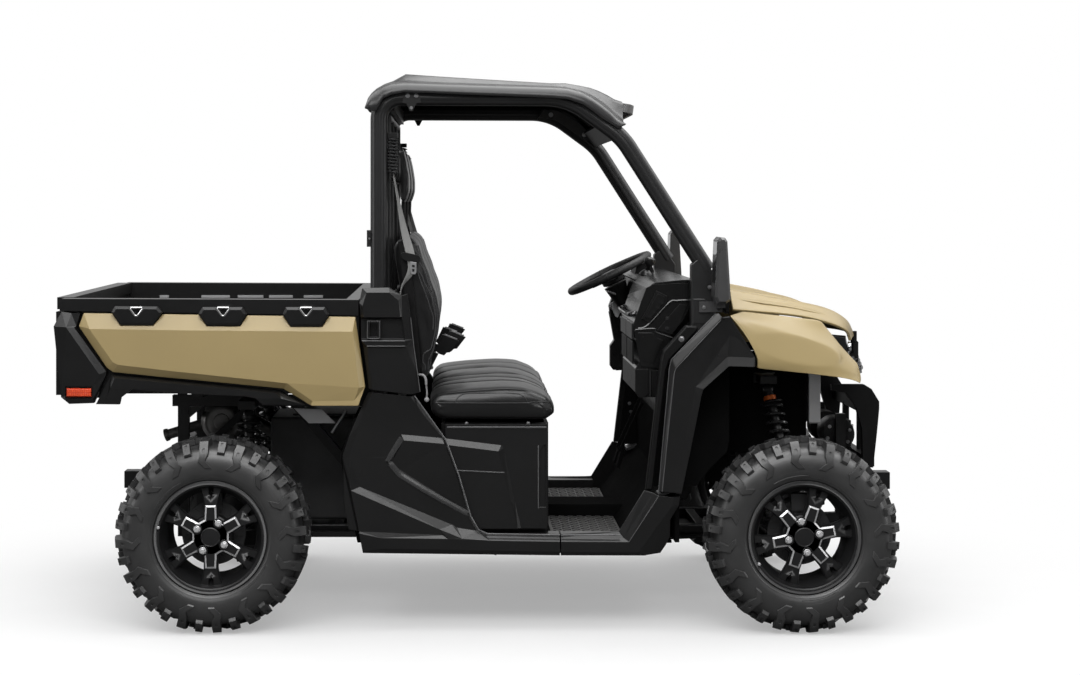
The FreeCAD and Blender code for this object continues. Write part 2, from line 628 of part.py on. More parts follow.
SIDE_F = [
    "c0 a2 l1 l2 h0 h1 h2 h3 l6 l7 t2 t1 c4 c3 c2 c1",
    "a0 c0 c1 c2 c3 e4 e3 e2 e1", "e4 c3 c4 b4",
    "a2 a3 r1 l1", "l1 r1 r2 l2", "l2 r2 l3", "r2 r3 l4 l3", "r3 r4 l6 l5 l4", "r4 r5 l7 l6", "r5 r6 l8 l7", "r6 r9 l9 l8",
    "h0 l2 l3 i0", "h0 i0 i2 h1", "h1 i2 h2", "h2 i2 i3 h3", "h3 i3 l5 l6", "i0 l3 l4 l5 i3 i2",
    "c4 t1 u1 b4", "t1 t2 u2 u1", "e4 b4 b5 g4 g3 g2 g1",
    "b4 u1 s2 s1 b5", "u1 u2 s5 s2", "b5 s1 s2 s5 s4 s3", "t2 l7 l8 v1 u2", "l8 l9 v2 v1",
    "s4 s5 u2 v1 v2 m3 m2", "s3 s4 m2 m1", "m1 m2 m3 n3 n1"]

CORNER = {
    "a0": (1207, 334, 29), "a1": (1408, 342, 29), "a2": (1497, 486, 19),
    "b0": (1207, 324, 12), "b1": (1424, 322, 12), "b2": (1525, 480, 8),
    "c0": (1207, 312, 0), "c1": (1441, 311, 0), "c2": (1545, 470, 0),
    "d2": (1596, 464, 0), "d3": (1591, 436, 0), "d1": (1475, 275, 0), "d0": (1207, 277, 0),
    "s2": (1620, 466, 10), "s3": (1615, 436, 10), "s1": (1586, 386, 12), "s0": (1508, 264, 14),
    "t1": (1586, 324, 28), "t2": (1573, 297, 30), "t3": (1553, 268, 30), "n0": (1207, 263, 9), "n1": (1496, 262, 11)}
CORNER_F = ["a0 a1 b1 b0", "a1 a2 b2 b1", "b0 b1 c1 c0", "b1 b2 c2 c1", "c0 c1 d1 d0", "c1 c2 d2 d3 d1",
            "d1 d3 s3 s1 s0", "d3 d2 s2 s3", "s1 t1 t2 t3 s0", "d0 d1 n1 n0", "d1 s0 n1"]

COVER = {
    "a0": (518, 1188, 18), "a1": (610, 1190, 18), "a2": (655, 1162, 18), "a3": (675, 1168, 25), "a4": (682, 1120, 25), "a5": (685, 1086, 25),
    "f0": (508, 1137, 18), "f1": (513, 1087, 18), "b0": (534, 1173, 5), "b1": (613, 1173, 5), "b2": (645, 1146, 5), "b3": (650, 1088, 5), "b4": (524, 1088, 5), "b5": (520, 1127, 5),
    "k0": (656, 1088, 10), "o0": (513, 1080, 29), "o1": (524, 1080, 29), "o2": (650, 1080, 29), "o3": (657, 1080, 29),
    "q0": (514, 1013, 29), "q1": (664, 1013, 29), "w0": (667, 1010, 10), "w1": (694, 1010, 25),
    "l0": (517, 1006, 2), "l1": (668, 1006, 2), "l2": (668, 988, 2), "l3": (535, 988, 2),
    "m0": (537, 984, 8), "m1": (669, 984, 8), "m2": (687, 820, 8), "m3": (557, 836, 8), "j0": (522, 986, 20), "j1": (541, 839, 20),
    "w2": (697, 986, 25), "w3": (708, 900, 25), "w4": (719, 826, 25)}
COVER_F = ["a0 a1 b1 b0", "a1 a2 b2 b1", "a0 b0 b5 f0", "f0 b5 b4 f1", "b0 b1 b2 b3 b4 b5", "a2 k0 b3 b2", "a2 a3 a4 a5 k0",
           "f1 b4 o1 o0", "b4 b3 o2 o1", "b3 k0 o3 o2", "o0 o1 o2 o3 q1 q0", "k0 w0 q1 o3", "k0 a5 w1 w0",
           "q0 q1 l1 l0", "q1 w0 l1", "l0 l1 l2 l3", "l3 l2 m1 m0", "q0 l0 l3 m0 j0", "j0 m0 m3 j1", "m0 m1 m2 m3",
           "w0 w1 w2 m1 l2 l1", "m1 w2 w3 w4 m2"]

FENDER = {
    "e0": (1754, 1101, 18), "e1": (1743, 1098, 20), "e2": (1591, 941, 20), "e3": (1584, 915, 20), "e4": (1546, 481, 20),
    "i1": (1761, 1079, 8), "i2": (1604, 910, 8), "i3": (1599, 894, 8), "i4": (1556, 481, 8),
    "k1": (1766, 1086, 8), "k2": (1793, 1090, 14), "k3": (1880, 947, 8), "k4": (1878, 915, 0),
    "p1": (1770, 1078, 16), "p2": (1788, 1074, 16), "p3": (1822, 1016, 16), "p4": (1792, 1026, 16),
    "f1": (1784, 951, 8), "f2": (1675, 855, 8), "f3": (1667, 827, 8), "f4": (1601, 478, 8),
    "h1": (1787, 918, 0), "h2": (1699, 838, 0), "h3": (1692, 814, 0), "h4": (1668, 692, 0), "h5": (1623, 475, 0)}
FENDER_F = ["e1 e0 i1 i2 e2", "e2 i2 i3 e3", "e3 i3 i4 e4", "e0 k1 i1", "k1 k2 p2 p1", "i1 k1 p1 p4 f1 f2 f3 f4 i4 i3 i2",
            "p1 p2 p3 p4", "p2 k2 k3 p3", "p4 p3 k3 f1", "f1 k3 k4 h1", "f1 h1 h2 f2", "f2 h2 h3 f3", "f3 h3 h4 h5 f4"]


def build_body():
    side = relief(SIDE, SIDE_F, -703)
    # tread of the sill, behind the panel's face
    sill = prism_x([(-703, 272), (-642, 272), (-642, 334), (-703, 334)], 905, 1203)
    low = prism_x([(-703, 272), (-642, 272), (-642, 318), (-703, 318)], 640, 905)
    side = fuse([side, sill, low])
    fs = relief(CORNER, CORNER_F, -703)
    fs = fuse([fs, prism_x([(-703, 272), (-642, 272), (-642, 334), (-703, 334)], 1207, 1412)])
    node("side_panels", side, mir(side), fs, mir(fs))
    # upper cover round the foot of the rear pillar
    pc = relief(COVER, COVER_F, -684)
    latch = fuse([box(537, 545, -737, -704, 1015, 1075), box(537, 580, -736, -722, 1068, 1075), box(537, 580, -736, -722, 1015, 1022), box(573, 581, -737, -704, 1015, 1075)])
    pc = fuse([pc, latch])
    node("pillar_covers", pc, mir(pc))
    # front fender, black, from the cowl to the wheel arch
    ff = relief(FENDER, FENDER_F, -690)
    node("front_fenders", ff, mir(ff))
    # door jamb between fender and cab
    jb = plate([(1641, 1058), (1680, 1056), (1684, 1044), (1584, 938), (1572, 898), (1526, 486), (1501, 487), (1553, 935), (1563, 972)], -680, -717, 5, 7)
    node("door_jambs", jb, mir(jb))
    # inner arch liner behind the front wheel and ahead of the rear wheel
    lin = [box(1606, 1622, -680, -242, 300, 912), box(1623, 2183, -560, -242, 900.5, 912), prism([(1623, 700), (1660, 760), (1694, 838), (1770, 905), (1770, 911), (1700, 911), (1623, 880)], -676, -561),
           box(1623, 2140, -250, -242, 560, 899.5).cut(box(1945, 2025, -352, -236, 812, 860)),
           prism([(1623, 480), (1700, 480), (1740, 535), (1805, 600), (1813, 640), (1813, 899.5), (1623, 899.5)], -556, -548)]
    rl = prism([(500, 300), (512, 300), (470, 492), (452, 600), (500, 735), (488, 735), (440, 600), (458, 492)], -684, -300)
    node("wheel_arch_liners", *(lin + [mir(k) for k in lin] + [rl, mir(rl)]))


def build_cab():
    # floor with a centre tunnel and toe board
    fl = [box(640, 1600, -638, 638, 291, 300), prism([(1180, 299), (1560, 299), (1560, 345), (1180, 345)], -100, 100),
          prism([(1436, 299), (1450, 299), (1600, 480), (1600, 900), (1590, 900), (1590, 485)], -638, 638)]
    ft = fuse(fl)
    kick = prism([(1514, 482), (1564, 932), (1576, 968), (1650, 1050), (1688, 1088), (1745, 1088), (1766, 1076), (1700, 1000), (1630, 930), (1589, 915), (1589, 492)], -612, -604)
    node("floor_pan", ft, kick, mir(kick))
    # seat base: an open topped storage box
    o = fuse([box(792, 1167, -636, 636, 302, 713), box(806, 1160, -690, 690, 350, 713)])
    inn = box(804, 1154, -624, 624, 320, 720)
    sb = o.cut(inn)
    rec = prism([(1134, 424), (1156, 424), (1156, 642), (1148, 642), (1134, 620)], -702, -682)
    pad = relief({"a": (806, 664, 10), "b": (1001, 640, 10), "c": (1010, 630, 10), "d": (1050, 440, 10), "e": (1071, 351, 10), "f": (806, 351, 10),
                  "g": (816, 642, 0), "h": (991, 620, 0), "i": (1033, 445, 0), "j": (1058, 351, 0), "k": (816, 351, 0)},
                 ["a b h g", "b c h", "c d i h", "d e j i", "g h i j k", "f a g k"], -688, -700)
    sb = fuse([sb, pad, mir(pad)])
    sb = sb.cut(rec).cut(mir(rec))
    node("seat_base", sb)
    # rear wall of the cab
    node("rear_wall", fuse([prism([(628, 303), (640, 303), (640, 700), (640, 1080), (628, 1080)], -600, 600), box(606, 640, -600, 600, 1080, 1120), box(512, 632, -600, -592, 760, 1120), box(512, 632, 592, 600, 760, 1120)]))
    # seats
    def cushion(y0, y1):
        pts = [(752, 730), (1150, 724), (1190, 740), (1192, 800), (1150, 838), (1040, 856), (800, 838), (752, 820)]
        return prism(pts, y0, y1)

    def back(y0, y1):
        pts = [(690, 862), (744, 862), (778, 985), (786, 1060), (768, 1140), (738, 1220), (704, 1330), (690, 1370), (650, 1380), (628, 1362)]
        return prism(pts, y0, y1)

    def head(y0, y1):
        pts = [(634, 1486), (668, 1478), (684, 1520), (676, 1650), (644, 1662), (628, 1640)]
        return prism(pts, y0, y1)
    seats = ((-690, -225), (-215, 215), (225, 690))
    node("seat_cushions", *[cushion(a, b) for a, b in seats])
    node("seat_backs", *[back(a + (25 if a < -600 else 0), b - (25 if b > 600 else 0)) for a, b in seats])
    node("headrests", *[head((a + b) / 2 - 120, (a + b) / 2 + 120) for a, b in seats])
    # grille behind the seats
    a = 600
    fr = [cyl((604, -a, 1135), (604, -a, 1790), 11), cyl((604, a, 1135), (604, a, 1790), 11), cyl((604, -a, 1135), (604, a, 1135), 11), cyl((604, -a, 1790), (604, a, 1790), 11)]
    fr += [cyl((604, y, 1135), (604, y, 1790), 9) for y in (-215, 215)] + [cyl((604, -a, 1570), (604, a, 1570), 12)]
    fr += [box(603, 605, -a, a, 1135, 1790)]
    for c in (-457, 0, 457):
        fr.append(cyl((604, c - 50, 1570), (630, c - 50, 1570), 8))
        fr.append(cyl((604, c + 50, 1570), (630, c + 50, 1570), 8))
    node("rear_screen", fuse(fr))


def build_belts():
    solids = []
    # webbing runs from the guide on the rear cross tube, over the seat edge, to the lower anchor
    for y, s in ((-652, -1), (652, 1)):
        yy = y - s * 36
        up = strap([(622, yy, 1662), (716, yy - s * 22, 1390), (744, yy - s * 60, 1240)], (0, 1, 0), 46, 2.6, 150)
        solids.append(up)
    return solids


def build_controls():
    # dash
    prof = [(1530, 1184), (1556, 1196), (1690, 1203), (1688, 1150), (1640, 1060), (1589, 1000), (1589, 700), (1560, 760), (1538, 850), (1524, 965), (1522, 1062)]
    bulge = [(1516, 1184), (1542, 1196), (1600, 1198), (1600, 1000), (1589, 1000), (1589, 800), (1500, 796), (1476, 815), (1476, 898), (1492, 921), (1477, 1007), (1472, 1062), (1498, 1138)]
    core = fuse([prism(prof, -590, 590), prism(bulge, -590, -70), prism(bulge, 540, 590)])
    # cowl panel from the dash to the hood's rear edge
    cowl = fuse([prism([(1692, 1200), (1812, 1156), (1812, 1143), (1692, 1187)], -600, 600), prism([(1800, 1150), (1812, 1150), (1812, 1090), (1800, 1090)], -560, 560)])
    node("dashboard", core, cowl)
    # steering wheel
    c = V(*SW)
    ax = V(*SW_AXIS)
    ax.normalize()
    rim = Part.makeTorus(169, 16, c, ax)
    parts = [rim, Part.makeCylinder(46, 34, c - ax * 44, ax)]
    side = V(0, 1, 0)
    dn = ax.cross(side)
    for d in (side, side * -1, dn if dn.x < 0 else dn * -1):
        p = c - ax * 26
        q = c + d * 160
        parts.append(Part.makeCylinder(11, (q - p).Length, p, q - p))
    sw = fuse(parts)
    node("steering_wheel", sw)
    # column
    a = c - ax * 50
    boot = Part.makeCone(46, 30, 84, a, ax * -1)
    colm = Part.makeCylinder(20, 250, a - ax * 80, ax * -1)
    shift = fuse([box(1556, 1592, 24, 56, 1199.5, 1207), cyl((1572, 40, 1204), (1586, 40, 1240), 7), Part.makeSphere(20, V(1588, 40, 1256))])
    col = fuse([boot, colm]).cut(prism(prof, -590, 590))
    node("steering_column", [s for s in sorted(col.Solids, key=lambda k: -k.Volume)][0])
    disp = prism([(1560, 1199), (1565, 1226), (1606, 1243), (1614, 1203)], 250, 430)
    node("instrument_display", disp)
    pd = []
    for y in (250, 380):
        pd.append(fuse([prism([(1488, 500), (1500, 494), (1588, 690), (1578, 694)], y + 24, y + 38), prism([(1478, 440), (1490, 432), (1510, 500), (1498, 506)], y, y + 62)]))
    node("driver_controls", shift, *pd)
    # mirrors
    head = plate([(1731, 1160), (1740, 1355), (1750, 1366), (1766, 1364), (1774, 1352), (1786, 1150), (1770, 1138), (1740, 1138)], -684, -806, 8, 14)
    armm = fuse([box(1690, 1770, -690, -678.5, 1103, 1140), cyl((1760, -686, 1120), (1760, -730, 1150), 11), box(1745, 1775, -735, -700, 1120, 1145)])
    mr = fuse([head, armm])
    node("side_mirrors", mr, mir(mr))


# ---- nose ---------------------------------------------------------------------------
def build_nose():
    # hood: faceted shell with a raised ridge along each side
    st = [  # x at the edge, x at the middle, (half width, z) from the edge to the middle
        (1822, 1822, (590, 1108), (552, 1136), (512, 1170), (500, 1176), (410, 1177), (392, 1172), (340, 1158), (150, 1154)),
        (2050, 2056, (545, 1086), (508, 1108), (476, 1128), (466, 1132), (388, 1133), (372, 1129), (325, 1116), (150, 1113)),
        (2181, 2200, (505, 1055), (470, 1078), (440, 1096), (430, 1100), (362, 1102), (348, 1098), (305, 1088), (145, 1087)),
        (2246, 2290, (468, 1026), (438, 1044), (408, 1056), (396, 1060), (338, 1061), (326, 1058), (285, 1051), (140, 1052)),
        (2264, 2330, (440, 1000), (420, 1010), (396, 1018), (386, 1021), (326, 1022), (316, 1020), (275, 1015), (135, 1018)),
        (2270, 2342, (432, 986), (414, 990), (392, 994), (382, 995), (322, 995), (312, 994), (272, 990), (132, 992))]
    verts, faces = [], []
    for row in st:
        xe, xm, prof = row[0], row[1], row[2:]
        half = []
        for w, z in prof:
            half.append((xe + (xm - xe) * (1.0 - (w / prof[0][0]) ** 2), w, z))
        verts += [(x, -w, z) for x, w, z in half] + [(x, w, z) for x, w, z in reversed(half)]
    n = 2 * (len(st[0]) - 2)
    for i in range(len(st) - 1):
        for j in range(n - 1):
            a = i * n + j
            faces.append((a, a + n, a + n + 1, a + 1))
    hood = slab(verts, faces, (0, 0, -13))
    ears = [box(2290, 2311, y, y + 14, 963, 1018) for y in (-330, 316)]
    hood = hood.fuse(ears).removeSplitter()
    hood = hood.cut(cyl((HOOD_X, -360, HOOD_Z), (HOOD_X, 360, HOOD_Z), 4.1))
    node("hood", [s for s in sorted(hood.Solids, key=lambda k: -k.Volume)][0])
    # tan fender panel beside the hood
    v = [(1797, -692, 1090), (1850, -708, 1026), (1894, -716, 943), (1889, -708, 909), (2222, -658, 872), (2260, -640, 851),
         (2270, -620, 868), (2258, -600, 918), (2212, -588, 966), (2135, -566, 1067), (1858, -606, 1100),
         (1846, -664, 1084), (1842, -700, 1060), (2170, -620, 992), (1899, -720, 936), (2240, -646, 893), (2254, -622, 890)]
    f = [(0, 12, 11, 10), (0, 1, 12), (10, 11, 13, 9), (11, 12, 13), (12, 1, 2, 14), (12, 14, 15, 13), (13, 15, 8, 9), (15, 16, 7, 8),
         (2, 3, 14), (14, 3, 4, 15), (15, 4, 5, 6, 16), (16, 6, 7)]
    fp = slab(v, f, (0, 20, 0))
    node("fender_panels", fp, mir(fp))
    # nose with the grille below the hood, carries the lamps
    lo = [(2196, -468), (2285, -446), (2330, -330), (2360, -170), (2368, 0), (2360, 170), (2330, 330), (2285, 446), (2196, 468)]
    up = [(2196, -462), (2268, -438), (2306, -326), (2334, -168), (2341, 0), (2334, 168), (2306, 326), (2268, 438), (2196, 462)]
    nose = fuse([loft([[(x, y, 862) for x, y in lo], [(x, y, 926) for x, y in up]]), box(2184, 2196, -476, 476, 905, 1000)])
    for y in (-352, -302, 288, 338):
        nose = nose.fuse([cyl((HOOD_X, y, HOOD_Z), (HOOD_X, y + 14, HOOD_Z), 6.4), box(HOOD_X - 12, HOOD_X + 6, y, y + 14, 900, HOOD_Z), box(2196, HOOD_X - 4, y, y + 14, 900, 934)])
    nose = nose.fuse([cyl((HOOD_X, y, HOOD_Z), (HOOD_X, y + 62, HOOD_Z), 4.0) for y in (-351, 289)]).removeSplitter()
    node("nose_panel", nose)
    lm = skin([[(2196, -478, 932), (2196, -478, 1006), (2196, -370, 1006), (2196, -370, 932)], [(2258, -458, 932), (2244, -462, 1000), (2262, -370, 1000), (2272, -370, 932)]])
    node("headlights", lm, mir(lm))
    # bumper
    side = prism([(2210, 822), (2330, 822), (2356, 806), (2384, 760), (2384, 734), (2376, 648), (2362, 520), (2325, 520), (2322, 660), (2300, 740), (2262, 792), (2212, 800)], -372, -340)
    cross = [box(2352, 2380, -372, 372, 700, 760), box(2332, 2366, -372, 372, 524, 560), box(2290.5, 2335, -224, -196, 528, 552), box(2290.5, 2335, 196, 224, 528, 552)]
    mid = [box(2350, 2372, y, y + 26, 550, 710) for y in (-150, 124)]
    node("front_bumper", fuse([side, mir(side)] + cross + mid))


# ---- cargo bed ----------------------------------------------------------------------
BED = {
    "a0": (-447, 1101, 19), "a1": (494, 1088, 19), "a2": (520, 906, 15), "a3": (528, 846, 15), "a4": (505, 782, 5), "a5": (344, 782, 5), "a6": (336, 784, 19),
    "a7": (245, 840, 19), "a8": (-111, 874, 19), "a9": (-180, 880, 19), "b0": (-345, 897, 19), "b1": (-366, 911, 19), "b2": (-464, 1056, 19),
    "c0": (-424, 1048, -3), "c1": (-111, 1043, -3), "c2": (486, 1038, -3), "c3": (501, 906, -3), "c4": (508, 845, -3), "c5": (491, 799, 6), "c6": (348, 797, 6),
    "c7": (259, 860, -3), "c8": (-111, 899, -3), "c9": (-180, 907, -3), "d0": (-325, 924, -3), "d1": (-343, 933, -3)}
BED_F = ["a0 a1 c2 c1 c0", "a1 a2 c3 c2", "a2 a3 c4 c3", "a3 a4 c5 c4", "a4 a5 c6 c5", "a5 a6 c6", "a6 a7 c7 c6", "a7 a8 c8 c7", "a8 a9 c9 c8", "a9 b0 d0 c9",
         "b0 b1 d1 d0", "b1 b2 c0 d1", "b2 a0 c0", "c0 c1 c2 c3 c4 c7 c8 c9 d0 d1", "c4 c5 c6 c7"]

TRIM = {
    "a0": (-525, 1106, 23), "a1": (-490, 1101, 19), "a2": (-459, 1102, 19), "b0": (-549, 1056, 6), "b1": (-505, 1053, 0), "b2": (-479, 1053, 9), "b3": (-472, 1056, 14),
    "c0": (-390, 890, 0), "c1": (-368, 900, 9), "c2": (-369, 888, 10), "d0": (-411, 850, 0), "d1": (-411, 806, 0), "d2": (-411, 790, 12),
    "e0": (-509, 806, 0), "e1": (-523, 811, 4), "e2": (-496, 787, 12)}
TRIM_F = ["a0 a1 b1 b0", "a1 a2 b3 b2 b1", "b1 b2 c1 c2 c0", "b0 b1 c0 d0 d1 e0 e1", "c0 c2 d2 d1 d0", "e1 e0 d1 d2 e2"]

BEDSILL = {
    "a0": (-352, 887, 16), "a1": (-337, 878, 0), "a2": (-111, 864, 15), "a3": (-111, 857, 0), "a4": (214, 831, 15), "a5": (221, 825, 0), "a6": (231, 829, 17),
    "b0": (-352, 842, 0), "b1": (-277, 839, 0), "b2": (-111, 825, 0), "b3": (114, 815, 0), "b4": (152, 807, 0), "b5": (238, 807, 0), "b6": (318, 784, 16),
    "c0": (-366, 807, 8), "c1": (-318, 808, 8), "c2": (-323, 785, 14), "c3": (-404, 786, 14), "c4": (174, 784, 10)}
BEDSILL_F = ["a0 a2 a3 a1", "a2 a4 a5 a3", "a4 a6 a5", "a5 a6 b6 b5", "a1 a3 a5 b5 b4 b3 b2 b1 b0", "b4 b5 b6 c4", "b0 b1 c1 c0", "c0 c1 c2 c3", "a0 a1 b0 c0 c3"]


def build_bed():
    tub = box(-500, 505, -685, 685, 822, 1118)
    tub = tub.cut(box(-520, 460, -652, 652, 846, 1130))
    rail = prism([(-531, 1109), (-531, 1146), (-524, 1151), (505, 1147), (505, 1093)], -716, -652)
    rails = fuse([rail, mir(rail), box(460, 505, -660, 660, 1090, 1147)])
    tub = fuse([tub, rails] + [box(-470, 470, s * 360 - 20, s * 360 + 20, 790, 824) for s in (-1, 1)] + [box(x, x + 40, -600, 600, 796, 824) for x in (-440, -90, 200, 440)] + [box(PIVOT_X - 16, PIVOT_X + 16, s * 236 - 10, s * 236 + 10, PIVOT_Z - 16, 824) for s in (-1, 1)])
    # raised blocks pressed into the inner faces of the side walls
    blocks = [loft([[(x0, 652.5, 880), (x1, 652.5, 880), (x1, 652.5, 1060), (x0, 652.5, 1060)], [(x0 + 8, 644, 888), (x1 - 8, 644, 888), (x1 - 8, 644, 1052), (x0 + 8, 644, 1052)]])
              for x0, x1 in ((-430, -260), (-225, -25), (10, 200), (235, 420))]
    pins = [cyl((PIVOT_X, s * 230, PIVOT_Z), (PIVOT_X, s * 292, PIVOT_Z), 8.0) for s in (-1, 1)]
    eye = [box(45, 75, 194, 204, 762, 824), box(45, 75, 226, 236, 762, 824)]
    for s in (-1, 1):
        pins.append(cyl((GATE_X, s * 618, GATE_Z), (GATE_X, s * 694, GATE_Z), 8.0))
        pins.append(box(-548, -512, min(s * 642, s * 692), max(s * 642, s * 692), 815, 1105))
        pins.append(box(-520, -495, min(s * 652, s * 685), max(s * 652, s * 685), 822, 1118))
    tub = fuse([tub] + pins + eye + blocks + [mir(b) for b in blocks])
    node("cargo_bed", tub)
    # painted side panel
    sp = relief(BED, BED_F, -688)
    tops = (((-348, 1105), (-336, 1126), (-189, 1125), (-172, 1105), (-205, 1061), (-316, 1061)),
            ((-48, 1099), (-33, 1123), (105, 1123), (120, 1099), (95, 1059), (-17, 1059)),
            ((244, 1098), (255, 1123), (390, 1123), (405, 1098), (379, 1057), (272, 1057)))
    for t in tops:
        sp = sp.cut(prism(inset(t, -3.0), -750, -600))
    node("bed_side_panels", sp, mir(sp))
    pockets = []
    for t in tops:
        a = plate(t, -716.5, -742, 9, 6)
        c = (t[1][0] + t[2][0]) / 2.0
        z = t[1][1] - 2.0
        a = a.cut(loft([[(c - 27, -745, z - 1), (c + 27, -745, z - 1), (c, -745, z - 36)], [(c - 20, -724, z - 5), (c + 20, -724, z - 5), (c, -724, z - 30)]]))
        pockets.append(a)
    # black corner and lower trim
    tr = relief(TRIM, TRIM_F, -696)
    tr = tr.cut(box(-508, -414, -745, -721, 807, 849))
    ts = relief(BEDSILL, BEDSILL_F, -696)
    node("bed_trims", *([tr, mir(tr), ts, mir(ts)] + pockets + [mir(p) for p in pockets]))
    tl = plate([(-504, 812), (-504, 842), (-418, 842), (-418, 812)], -721.5, -738, 4, 6)
    node("tail_lights", tl, mir(tl))
    gate = [box(-547, -510, -632, 632, 858, 1150), box(-556, -500, -632, 632, 1110, 1152)]
    for y in (-420, -140, 140, 420):
        gate.append(box(-538, -518, y - 20, y + 20, 838, 862))
    gate.append(cyl((GATE_X, -631, GATE_Z), (GATE_X, 631, GATE_Z), 13))
    g = fuse(gate)
    for s in (-1, 1):
        g = g.cut(cyl((GATE_X, s * 610, GATE_Z), (GATE_X, s * 640, GATE_Z), 8.1))
    node("tailgate", g)


def build_strut():
    a, b = V(*STRUT_A), V(*STRUT_B)
    d = b - a
    L = d.Length
    d.normalize()
    barrel = Part.makeCylinder(14, 250, a + d * 16, d).cut(Part.makeCylinder(6, 242, a + d * 30, d))
    eye = Part.makeCylinder(12, 16, a - V(0, 8, 0), V(0, 1, 0)).cut(Part.makeCylinder(5.4, 20, a - V(0, 10, 0), V(0, 1, 0)))
    lug = Part.makeCylinder(7, 12, a + d * 7, d)
    brl = fuse([barrel, eye, lug]).cut(Part.makeCylinder(5.1, 20, a - V(0, 10, 0), V(0, 1, 0)))
    node("lift_strut_barrel", [k for k in sorted(brl.Solids, key=lambda k: -k.Volume)][0])
    eye2 = Part.makeCylinder(11, 14, b - V(0, 7, 0), V(0, 1, 0))
    rod = Part.makeCylinder(5, L - 50, b - d * (L - 42), d)
    r = fuse([rod, eye2]).cut(Part.makeCylinder(5.6, 20, b - V(0, 10, 0), V(0, 1, 0)))
    node("lift_strut_rod", [s for s in sorted(r.Solids, key=lambda k: -k.Volume)][0])


def main():
    os.makedirs("parts", exist_ok=True)
    for f in os.listdir("parts"):
        if f.endswith(".step"):
            os.remove(os.path.join("parts", f))
    build_frame()
    build_cage()
    build_roof()
    yf = build_wheel("front_right", WHEELBASE, -(TYRE_OUT - FRONT_TYRE_W / 2), FRONT_TYRE_W, -1)
    build_wheel("front_left", WHEELBASE, TYRE_OUT - FRONT_TYRE_W / 2, FRONT_TYRE_W, 1)
    yr = build_wheel("rear_right", 0.0, -(TYRE_OUT - REAR_TYRE_W / 2), REAR_TYRE_W, -1)
    build_wheel("rear_left", 0.0, TYRE_OUT - REAR_TYRE_W / 2, REAR_TYRE_W, 1)
    print("brake disc planes", yf, yr)
    build_suspension()
    build_knuckles(yf, yr)
    build_drive()
    build_body()
    build_cab()
    node("seat_belts", *build_belts())
    build_controls()
    build_nose()
    build_bed()
    build_strut()
    bad = []
    lo, hi = V(1e9, 1e9, 1e9), V(-1e9, -1e9, -1e9)
    for name, solids in NODES.items():
        moved = []
        for s in solids:
            s = s.copy()
            s.translate(V(-X_ORIGIN, 0, 0))
            if not s.isValid() or s.Volume <= 0:
                bad.append(name)
            moved.append(s)
            b = s.BoundBox
            lo = V(min(lo.x, b.XMin), min(lo.y, b.YMin), min(lo.z, b.ZMin))
            hi = V(max(hi.x, b.XMax), max(hi.y, b.YMax), max(hi.z, b.ZMax))
        shape = moved[0] if len(moved) == 1 else Part.makeCompound(moved)
        shape.exportStep(os.path.join("parts", name + ".step"))
    print("nodes", len(NODES), "box", [round(v, 1) for v in (lo.x, hi.x, lo.y, hi.y, lo.z, hi.z)])
    print("bad", bad)


main()
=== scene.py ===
import math
import random

import bmesh
import bpy
from mathutils import Matrix, Vector, noise

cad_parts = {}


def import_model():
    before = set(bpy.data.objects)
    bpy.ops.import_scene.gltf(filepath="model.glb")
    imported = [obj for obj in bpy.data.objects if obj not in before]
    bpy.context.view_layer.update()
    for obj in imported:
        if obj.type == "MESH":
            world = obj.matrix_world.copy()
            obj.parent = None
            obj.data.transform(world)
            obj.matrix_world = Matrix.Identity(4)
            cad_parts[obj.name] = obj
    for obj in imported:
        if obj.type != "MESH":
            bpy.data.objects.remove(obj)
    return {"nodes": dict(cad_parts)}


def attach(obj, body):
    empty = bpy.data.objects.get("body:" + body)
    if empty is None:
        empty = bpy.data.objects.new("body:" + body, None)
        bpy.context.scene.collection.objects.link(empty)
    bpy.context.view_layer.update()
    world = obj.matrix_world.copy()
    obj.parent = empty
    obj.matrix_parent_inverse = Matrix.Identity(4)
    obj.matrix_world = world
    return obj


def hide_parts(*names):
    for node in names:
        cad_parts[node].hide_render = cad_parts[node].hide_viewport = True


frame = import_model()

# Looks of the side by side utility vehicle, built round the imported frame.
# Shapes are written in millimetres with x = 0 at the rear axle, +x forward, +y left and z up,
# and are shifted by X0 into the frame, in metres.

random.seed(11)
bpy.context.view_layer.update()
X0 = 974.0
S = 0.001
NODES = frame["nodes"]
SCENE = bpy.context.scene


def P(x, y, z):
    return Vector(((x - X0) * S, y * S, z * S))


# ---------------------------------------------------------------- camera and light
cam = bpy.data.cameras.new("camera")
cam.lens = 66.67
cam.sensor_width = 36.0
cam.sensor_fit = "HORIZONTAL"
cam.shift_x = 0.0787
cam.shift_y = -0.1264
cam.clip_start = 0.1
cam.clip_end = 200.0
cam_o = bpy.data.objects.new("camera", cam)
SCENE.collection.objects.link(cam_o)
cam_o.location = P(840, -7650, 1490)
cam_o.rotation_euler = (math.radians(90), 0, 0)
SCENE.camera = cam_o
SCENE.view_settings.view_transform = "Standard"
SCENE.view_settings.look = "None"
SCENE.view_settings.exposure = 0.0
SCENE.view_settings.gamma = 1.0

